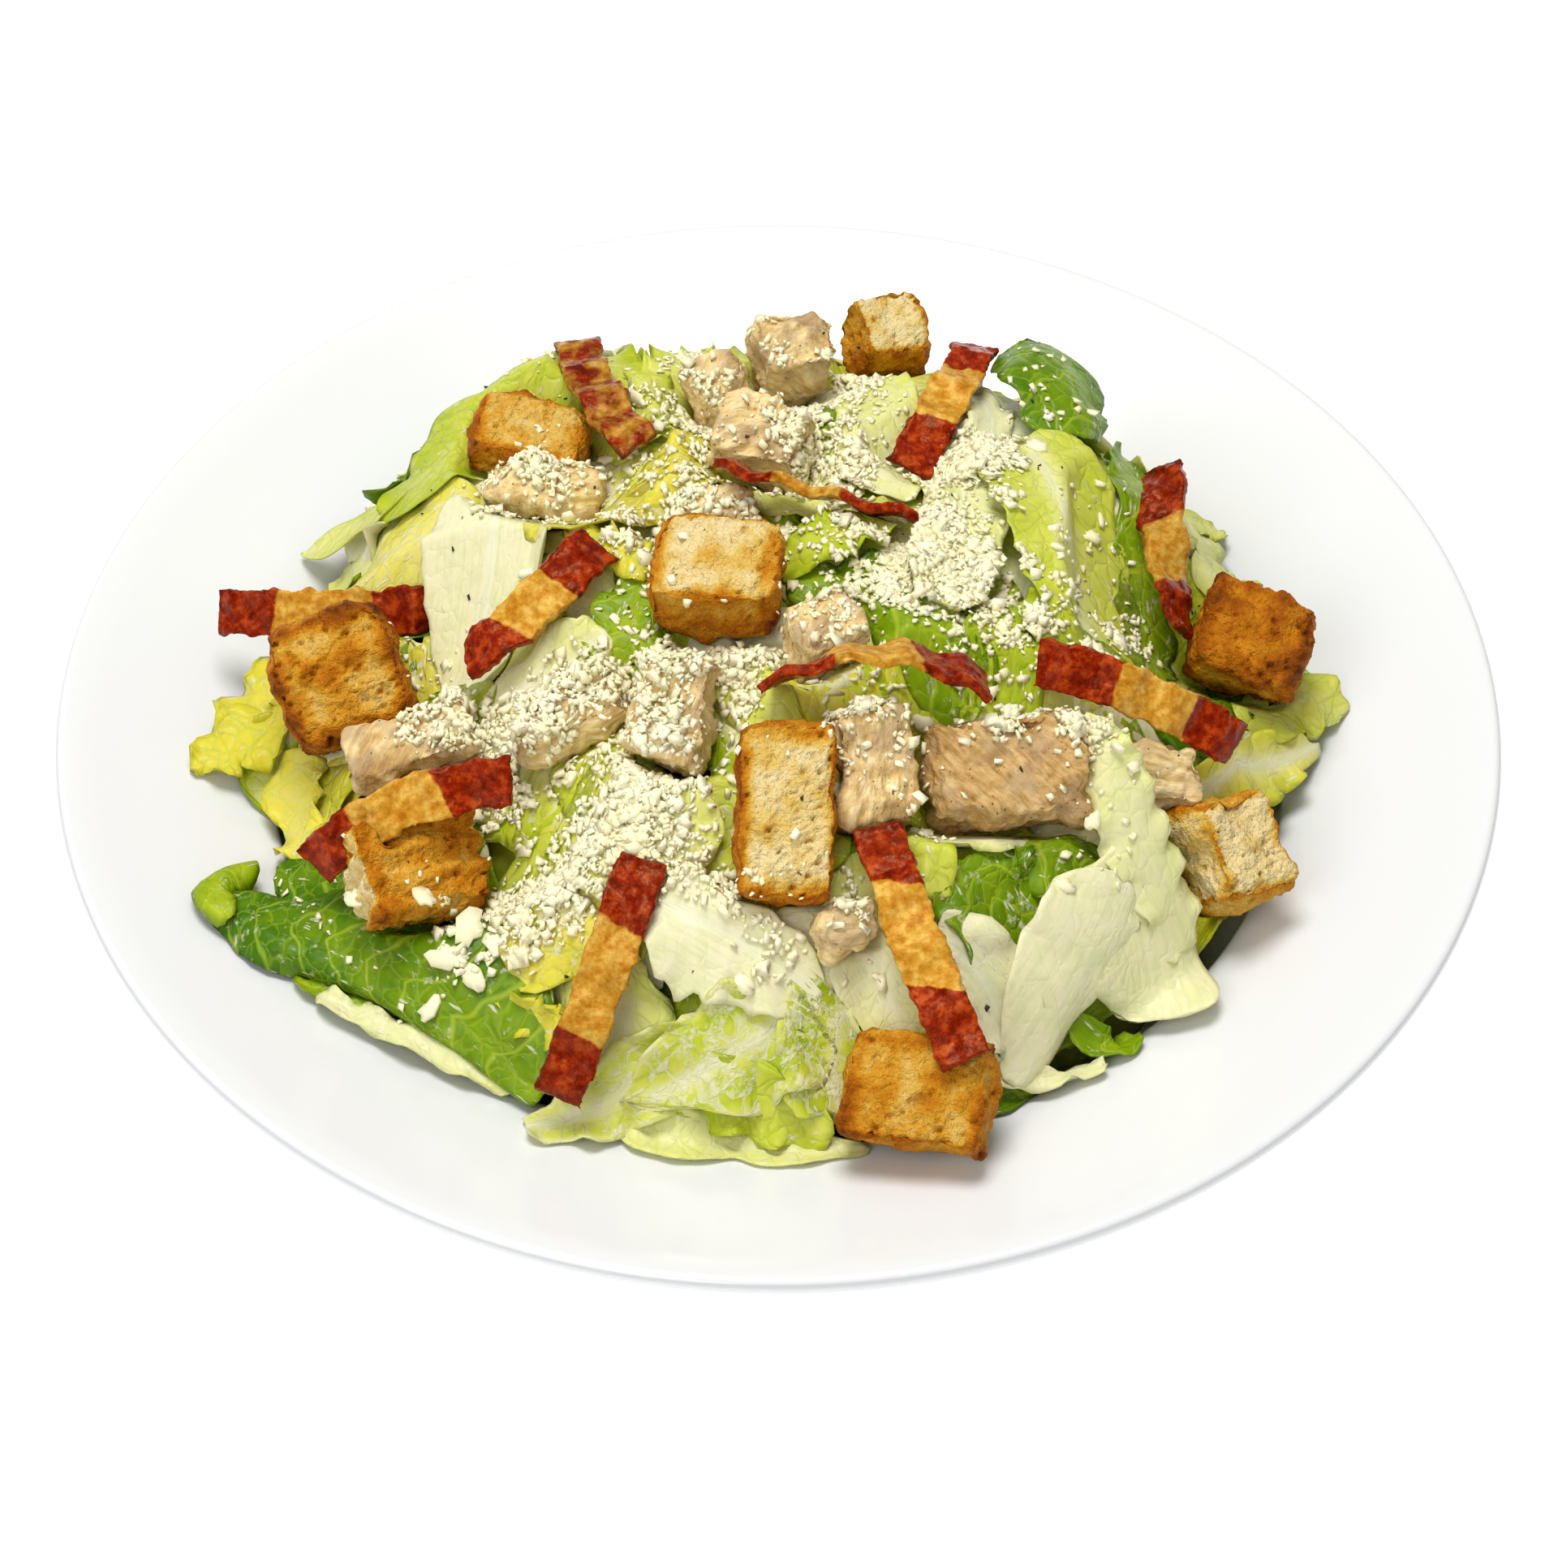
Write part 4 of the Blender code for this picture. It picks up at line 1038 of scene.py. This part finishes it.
def build_croutons():
    pile = Pile()
    for number, name in enumerate(CROUTONS):
        turn, pale, toasted, fade = CROUTON_LOOKS[name]
        verts, faces, normals = fine_copy(name, 0.55, 4)
        centre = (verts.min(0) + verts.max(0)) / 2
        own = (verts - centre) @ turn_matrix(turn)
        spot = own + number * 31.7
        half = np.abs(own).max(0)
        near = np.sort(np.abs(own) / half, axis=1)
        edge = ease(0.62, 0.95, near[:, 1])  # near two faces at once is near an edge
        lumps = rough_noise(spot / 4.5, 3, 21)
        crumbs = rough_noise(spot / 1.3, 2, 23)
        airy = scatter_hash(np.floor(spot / 5.0), 4) > 0.35
        pore = ease(0.36, 0.12, nearest_point(spot / 2.3, 25)) * airy
        pits = ease(0.40, 0.10, nearest_point(spot / 1.1, 27))
        pale_side = ease(0.45, 0.9, normals @ unit(np.array(pale, float)))
        open_crumb = pale_side * (0.4 + 0.6 * fade)
        shift = 1.25 * lumps + 0.55 * crumbs - (0.9 + 0.5 * open_crumb) * pore
        shift = shift - (0.20 + 0.30 * open_crumb) * pits
        if name == "crouton_front_left":  # baked in layers
            shift = shift + 0.8 * np.sin(own[:, 1] * 1.1 + 2.2 * smooth_noise(spot / 5.0, 31))
        if name in TORN_CROUTONS:
            corners = ease(0.75, 1.0, near[:, 0] + 0.4 * (near[:, 1] - 0.5))
            shift = shift + 1.6 * smooth_noise(spot / 9.0, 33) - 1.6 * corners
        if name == "crouton_front":
            hole = np.linalg.norm((own - (1.0, -1.5, half[2] - 0.5)) * (1, 1.3, 0.6), axis=1)
            shift = shift - 2.2 * ease(2.3, 1.0, hole)
        shift = shift - 0.6 * edge * (1 + 1.4 * smooth_noise(spot / 4.0, 37))
        toast = toasted + 0.20 * lumps + 0.26 * edge - (0.46 * fade) * pale_side * (1 - 0.6 * edge)
        # Painted shade: the larger pores are darker. The rest of toast is the bread's own colour.
        toast = toast + 0.16 * ease(0.1, 0.6, rough_noise(spot / 7.0, 2, 35)) - 0.10 * pits + 0.10 * pore
        pile.add(verts + normals * shift[:, None], faces, toast=np.clip(toast, 0, 1))
    croutons = pile.build("toasted_croutons", bread())
    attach(croutons, "root")
    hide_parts(*CROUTONS)


def main_axis(verts):
    centred = verts - verts.mean(0)
    _, vectors = np.linalg.eigh(centred.T @ centred)
    return vectors[:, ::-1].T  # long, middle and short axis


def build_chicken():
    pile = Pile()
    for number, name in enumerate(CHICKEN):
        verts, faces, normals = fine_copy(name, 0.62, 10)
        axes = main_axis(verts)
        tilt = turn_matrix([most * seed_noise(number, k) for k, most in ((1, 20), (2, 20), (3, 50))])
        own = (verts - verts.mean(0)) @ axes.T @ tilt
        spot = own + number * 23.1
        strands = rough_noise(spot * (0.10, 0.55, 0.55), 3, 41)
        torn = np.abs(rough_noise(spot / 3.6, 3, 43))
        lumps = rough_noise(spot / 6.0, 2, 45)
        shift = 0.8 * strands - 1.5 * (0.35 - torn) + 2.0 * lumps + 1.5 * smooth_noise(spot / 9.0, 51)
        shift = shift + 0.15 * rough_noise(spot * (0.3, 1.6, 1.6), 2, 47) - 0.3
        brown = 0.10 + 0.34 * ease(0.0, 0.6, rough_noise(spot / 9.0, 2, 49)) + 0.18 * seed_noise(number, 5)
        # Painted shade: faces that point down are browner.
        brown = brown + 0.35 * ease(0.2, 0.9, -normals[:, 2])
        brown = brown + BROWNED.get(name, 0.0)
        cheese = cheese_cover(verts[:, 0], verts[:, 1]) * ease(0.2, 0.7, normals[:, 2])
        verts = verts + normals * shift[:, None]
        pile.add(verts, faces, fibre=spot, brown=np.clip(brown, -0.3, 1), cheese=cheese)
    chicken = pile.build("grilled_chicken", grilled_chicken())
    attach(chicken, "root")
    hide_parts(*CHICKEN)


def build_bacon():
    pile = Pile()
    for number, name in enumerate(BACON):
        verts, faces, normals = fine_copy(name, 0.42, 3)
        axes = main_axis(verts)
        own = (verts - verts.mean(0)) @ axes.T
        low, high = own[:, 0].min(), own[:, 0].max()
        share = (own[:, 0] - low) / (high - low)
        spot = own + number * 19.3
        lumps = rough_noise(spot / 2.6, 3, 61)
        bubbles = nearest_point(spot / 1.7, 63)
        rim = np.abs(normals @ axes[1])
        shift = 0.34 * lumps + 0.30 * (0.5 - bubbles) + (0.9 * rough_noise(spot / 2.4, 2, 65) - 0.1) * rim
        ripple = np.sin(own[:, 0] * 0.55 + 6 * seed_noise(number, 2)) * 0.7
        verts = verts + normals * shift[:, None] + np.outer(ripple, axes[2])
        slant = share + 0.10 * own[:, 1] / 9.0 * seed_noise(number, 3) + 0.02 * lumps
        first = 0.30 + 0.04 * seed_noise(number, 4)
        second = 0.70 + 0.05 * seed_noise(number, 5)
        fat = ease(first - 0.05, first + 0.05, slant) * ease(second + 0.05, second - 0.05, slant)
        char = CHARRED.get(name, 0.0) + 0.45 * ease(0.06, 0.0, share) + 0.35 * ease(0.94, 1.0, share)
        side = np.abs(own[:, 1]) / np.abs(own[:, 1]).max()
        fat = fat * (1 - 0.30 * ease(0.70, 1.0, side))
        meat = 1 - fat
        if name == "bacon_back_left":
            meat = 0.52 + 0.25 * lumps
        char = char + 0.30 * ease(0.86, 1.0, side)
        pile.add(verts, faces, meat=meat, char=np.clip(char + 0.15 * lumps, 0, 1))
    bacon = pile.build("fried_bacon", fried_bacon())
    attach(bacon, "root")
    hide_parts(*BACON)


# ---- cheese and pepper -------------------------------------------------------------------------------

# Where cheese lies thick: (x, y, spread, number of grains, how high it piles)
CHEESE = (
    (-26, -54, 11, 820, 1.2), (36, 31, 7, 460, 1.0), (28, 6, 9, 420, 0.6), (26, -6, 9, 240, 0.4),
    (38, -6, 8, 220, 0.4), (52, -5, 8, 110, 0.3), (-52, -34, 8, 260, 1.2), (-62, -30, 8, 260, 1.3),
    (-20, -28, 8, 380, 1.6), (-40, -28, 8, 240, 1.0), (8, 30, 9, 280, 1.0), (4, 52, 9, 220, 0.8),
    (-16, 44, 9, 260, 1.0), (-46, 32, 8, 200, 1.2), (-24, 14, 8, 130, 0.8), (14, -36, 7, 240, 1.4),
    (38, -33, 8, 240, 1.2), (52, -36, 8, 130, 0.9), (-40, -66, 9, 280, 1.0), (-54, -64, 7, 140, 0.8),
    (-6, -70, 8, 180, 0.6), (18, -74, 8, 120, 0.6), (14, 60, 8, 160, 0.6), (-14, 18, 8, 180, 0.8),
    (2, 14, 9, 160, 0.8), (66, 8, 10, 60, 0.2), (-8, -24, 7, 160, 0.8), (0, 0, 60, 700, 0.2),
    (10, -20, 52, 300, 0.2), (-10, 84, 20, 120, 0.4), (50, 70, 16, 8, 0.3), (-60, 60, 16, 30, 0.3),
)
CHEESE_SHARE = 2.1  # grains made for each one counted above
CHEESE_RADIUS = 104.0
CLUMP = 14  # grains counted for each clump
PEPPER_COUNT = 130
PEPPER_RADIUS = 92.0


def cheese_cover(x, y):
    """From 0, no grated cheese, to 1 where nothing shows between the grains."""
    grains = 0.0
    for cx, cy, spread, count, _ in CHEESE:
        breadth = (0.62 * spread) ** 2 + (1.5 + 0.06 * spread) ** 2
        away = (x - cx) ** 2 + (y - cy) ** 2
        grains = grains + count / (2 * math.pi * breadth) * np.exp(-away / (2 * breadth))
    return 1 - np.exp(-0.65 * grains)


# Larger shavings: (x, y, width)
FLAKES = (
    (-56, -66, 8), (-51, -69, 7), (-60, -71, 7.5), (-47, -73, 6), (-64, -64, 6), (-77, -62, 5),
    (-63, -78, 5.5), (-55, -75, 6), (-41, -63, 5), (61, 20, 4), (50, 34, 5), (66, 0, 5), (27, -31, 5),
    (-6, -83, 5), (-93, 18, 3), (-84, 62, 3), (-34, 42, 4), (52, -62, 4), (57, -52, 4.5), (-48, 3, 3),
    (80, 30, 4),
)


def crumb_shapes(count, seed):
    """Irregular, angular crumbs and short shreds about one unit across."""
    bm = bmesh.new()
    bmesh.ops.create_cube(bm, size=1.0)
    bmesh.ops.triangulate(bm, faces=bm.faces)
    corners = np.array([v.co for v in bm.verts])
    faces = np.array([[v.index for v in f.verts] for f in bm.faces])
    bm.free()
    rng = np.random.default_rng(seed)
    shapes = []
    for _ in range(count):
        stretch = np.array((rng.uniform(0.9, 1.8), rng.uniform(0.7, 1.1), rng.uniform(0.28, 0.55)))
        shape = corners + rng.uniform(-0.24, 0.24, corners.shape)
        taper = 1 + rng.uniform(-0.5, 0.3) * corners[:, :1]
        shapes.append(shape * taper * stretch * 0.85)
    return shapes, faces


def random_turns(rng, count):
    """Random rotation matrices, from unit quaternions."""
    q = unit(rng.normal(size=(count, 4)))
    w, x, y, z = q.T
    return np.stack([
        np.stack([1 - 2 * (y * y + z * z), 2 * (x * y - z * w), 2 * (x * z + y * w)], -1),
        np.stack([2 * (x * y + z * w), 1 - 2 * (x * x + z * z), 2 * (y * z - x * w)], -1),
        np.stack([2 * (x * z - y * w), 2 * (y * z + x * w), 1 - 2 * (x * x + y * y)], -1),
    ], 1)


def food_tree():
    """A search tree over the placed romaine leaves, the croutons, the chicken and the bowl."""
    pieces = []
    for label in ("romaine_left", "romaine_right", "romaine_under", "toasted_croutons", "grilled_chicken"):
        mesh = bpy.data.objects[label].data
        verts = np.zeros(len(mesh.vertices) * 3)
        mesh.vertices.foreach_get("co", verts)
        mesh.calc_loop_triangles()
        faces = np.zeros(len(mesh.loop_triangles) * 3, np.int32)
        mesh.loop_triangles.foreach_get("vertices", faces)
        pieces.append((verts.reshape(-1, 3) / MM, faces.reshape(-1, 3)))
    pieces.append(node_triangles("bowl"))
    return tree_of(pieces)


def add_flake(pile, rng, centre, normal, width):
    """A thin shaving with an uneven outline."""
    corners = 14
    turns = np.arange(corners) * 2 * math.pi / corners
    radius = width / 2 * (0.75 + 0.4 * rng.uniform(size=corners))
    bumps = 0.25 * rng.normal(size=corners)
    flat = np.stack([radius * np.cos(turns), 0.65 * radius * np.sin(turns), bumps], -1)
    normal = unit(normal + (0, 0, 1) + rng.normal(scale=0.25, size=3))
    side = unit(np.cross(normal, (math.cos(width * 9), math.sin(width * 9), 0.1)))
    axes = np.stack([side, np.cross(normal, side), normal])
    top = np.concatenate([flat, [(0, 0, 0.3)]]) @ axes + centre
    low = top - normal * 0.8
    k = np.arange(corners)
    after = (k + 1) % corners
    middle = np.full(corners, corners)
    count = corners + 1
    faces = np.concatenate([
        np.stack([middle, k, after], -1), np.stack([middle, after, k], -1) + count,
        np.stack([k, k + count, after + count], -1), np.stack([k, after + count, after], -1),
    ])
    pile.add(np.concatenate([top, low]), faces)


def build_cheese(tree):
    rng = np.random.default_rng(7)
    shapes, faces = crumb_shapes(24, 3)
    pile = Pile()
    grains = []
    for x, y, spread, count, height in CHEESE:
        # Grains clump: each cluster is made of small ones.
        clumps = rng.normal(scale=spread * 0.62, size=(max(3, count // CLUMP), 2))
        count = int(count * CHEESE_SHARE)
        chosen = clumps[rng.integers(0, len(clumps), count)]
        for dx, dy in chosen + rng.normal(scale=1.5 + 0.06 * spread, size=(count, 2)):
            if math.hypot(x + dx, y + dy) < CHEESE_RADIUS:
                grains.append((x + dx, y + dy, height))
    spins = rng.normal(size=(len(grains), 2, 3))
    sizes = rng.lognormal(mean=-0.10, sigma=0.40, size=len(grains)).clip(0.45, 2.4)
    drops = rng.uniform(0, 1, len(grains))
    kinds = rng.integers(0, len(shapes), len(grains))
    nearly_bare = tree_of_nodes(*CROUTONS, *BACON)
    for (x, y, height), (tilt, spin), size, drop, kind in zip(grains, spins, sizes, drops, kinds):
        hit, normal, _, _ = tree.ray_cast(Vector((x, y, OVER_FOOD)), DOWN)
        if hit is None:
            continue
        bare = nearly_bare.ray_cast(Vector((x, y, OVER_FOOD)), DOWN)[0]
        if bare is not None and bare.z > hit.z - 1.5 and drop > 0.06:
            continue
        if normal.z < 0.25 and drop > 0.3:
            continue
        flat = unit(np.array(normal) + 0.36 * tilt)
        side = unit(np.cross(flat, spin))
        centre = np.array(hit) + np.array(normal) * size * 0.16 + (0, 0, height * drop)
        pile.add((shapes[kind] * size) @ np.stack([side, np.cross(flat, side), flat]) + centre, faces)
    for x, y, width in FLAKES:
        hit, normal, _, _ = tree.ray_cast(Vector((x, y, OVER_FOOD)), DOWN)
        if hit is not None:
            add_flake(pile, rng, np.array(hit) + (0, 0, 0.9), np.array(normal), width)
    grated = pile.build("grated_parmesan", cheese(), smooth=False)
    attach(grated, "root")


def build_pepper(tree):
    rng = np.random.default_rng(11)
    shapes, faces = crumb_shapes(8, 5)
    pile = Pile()
    for turn in random_turns(rng, PEPPER_COUNT):
        radius, angle = PEPPER_RADIUS * math.sqrt(rng.uniform()), rng.uniform(0, 2 * math.pi)
        x, y = radius * math.cos(angle), radius * math.sin(angle)
        hit, normal, _, _ = tree.ray_cast(Vector((x, y, OVER_FOOD)), DOWN)
        size = rng.uniform(0.3, 0.75)
        if hit is not None:
            shape = shapes[rng.integers(len(shapes))]
            pile.add((shape * size) @ turn.T + np.array(hit) + np.array(normal) * size * 0.2, faces)
    pepper = pile.build("cracked_pepper", black_pepper())
    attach(pepper, "root")


# ---- stage -----------------------------------------------------------------------------------------

FLOOR_REACH = 3000.0


def area_light(name, place, aim, size, watts, colour=(1, 1, 1)):
    light = bpy.data.lights.new(name, "AREA")
    light.shape = "DISK"
    light.size = size
    light.energy = watts
    light.color = colour
    lamp = bpy.data.objects.new(name, light)
    lamp.location = place
    lamp.rotation_euler = (Vector(aim) - Vector(place)).to_track_quat("-Z", "Y").to_euler()
    bpy.context.scene.collection.objects.link(lamp)


def build_stage():
    scene = bpy.context.scene
    corners = FLOOR_REACH * np.array([(-1, -1, 0), (1, -1, 0), (1, 1, 0), (-1, 1, 0)], float)
    floor = make_object("floor", corners, [(0, 1, 2, 3)], {}, table(), smooth=False)
    world = bpy.data.worlds.new("studio")
    world.use_nodes = True
    background = world.node_tree.nodes["Background"]
    background.inputs["Color"].default_value = (1.0, 0.965, 0.87, 1.0)
    background.inputs["Strength"].default_value = 0.34
    scene.world = world
    area_light("key", (-0.10, 0.16, 1.2), (0, 0, 0.05), 0.6, 10.6, (1.0, 0.99, 0.97))
    area_light("fill", (-0.45, -0.75, 0.85), (0, 0, 0.05), 0.8, 4.4)
    scene.view_settings.view_transform = "Standard"
    scene.view_settings.look = "None"
    scene.view_settings.exposure = 0.0
    camera_data = bpy.data.cameras.new("camera")
    camera_data.lens = 82.57
    camera_data.sensor_width = 36.0
    camera_data.clip_end = 20.0
    camera = bpy.data.objects.new("camera", camera_data)
    camera.location = (0.0, -0.4801, 0.5594)
    aim = Vector((-0.00104, -0.02633, 0.050)) - camera.location
    camera.rotation_euler = aim.to_track_quat("-Z", "Y").to_euler()
    scene.collection.objects.link(camera)
    scene.camera = camera


build_stage()
build_bowl()
build_romaine()
build_croutons()
build_chicken()
build_bacon()
TREE = food_tree()
build_cheese(TREE)
build_pepper(TREE)
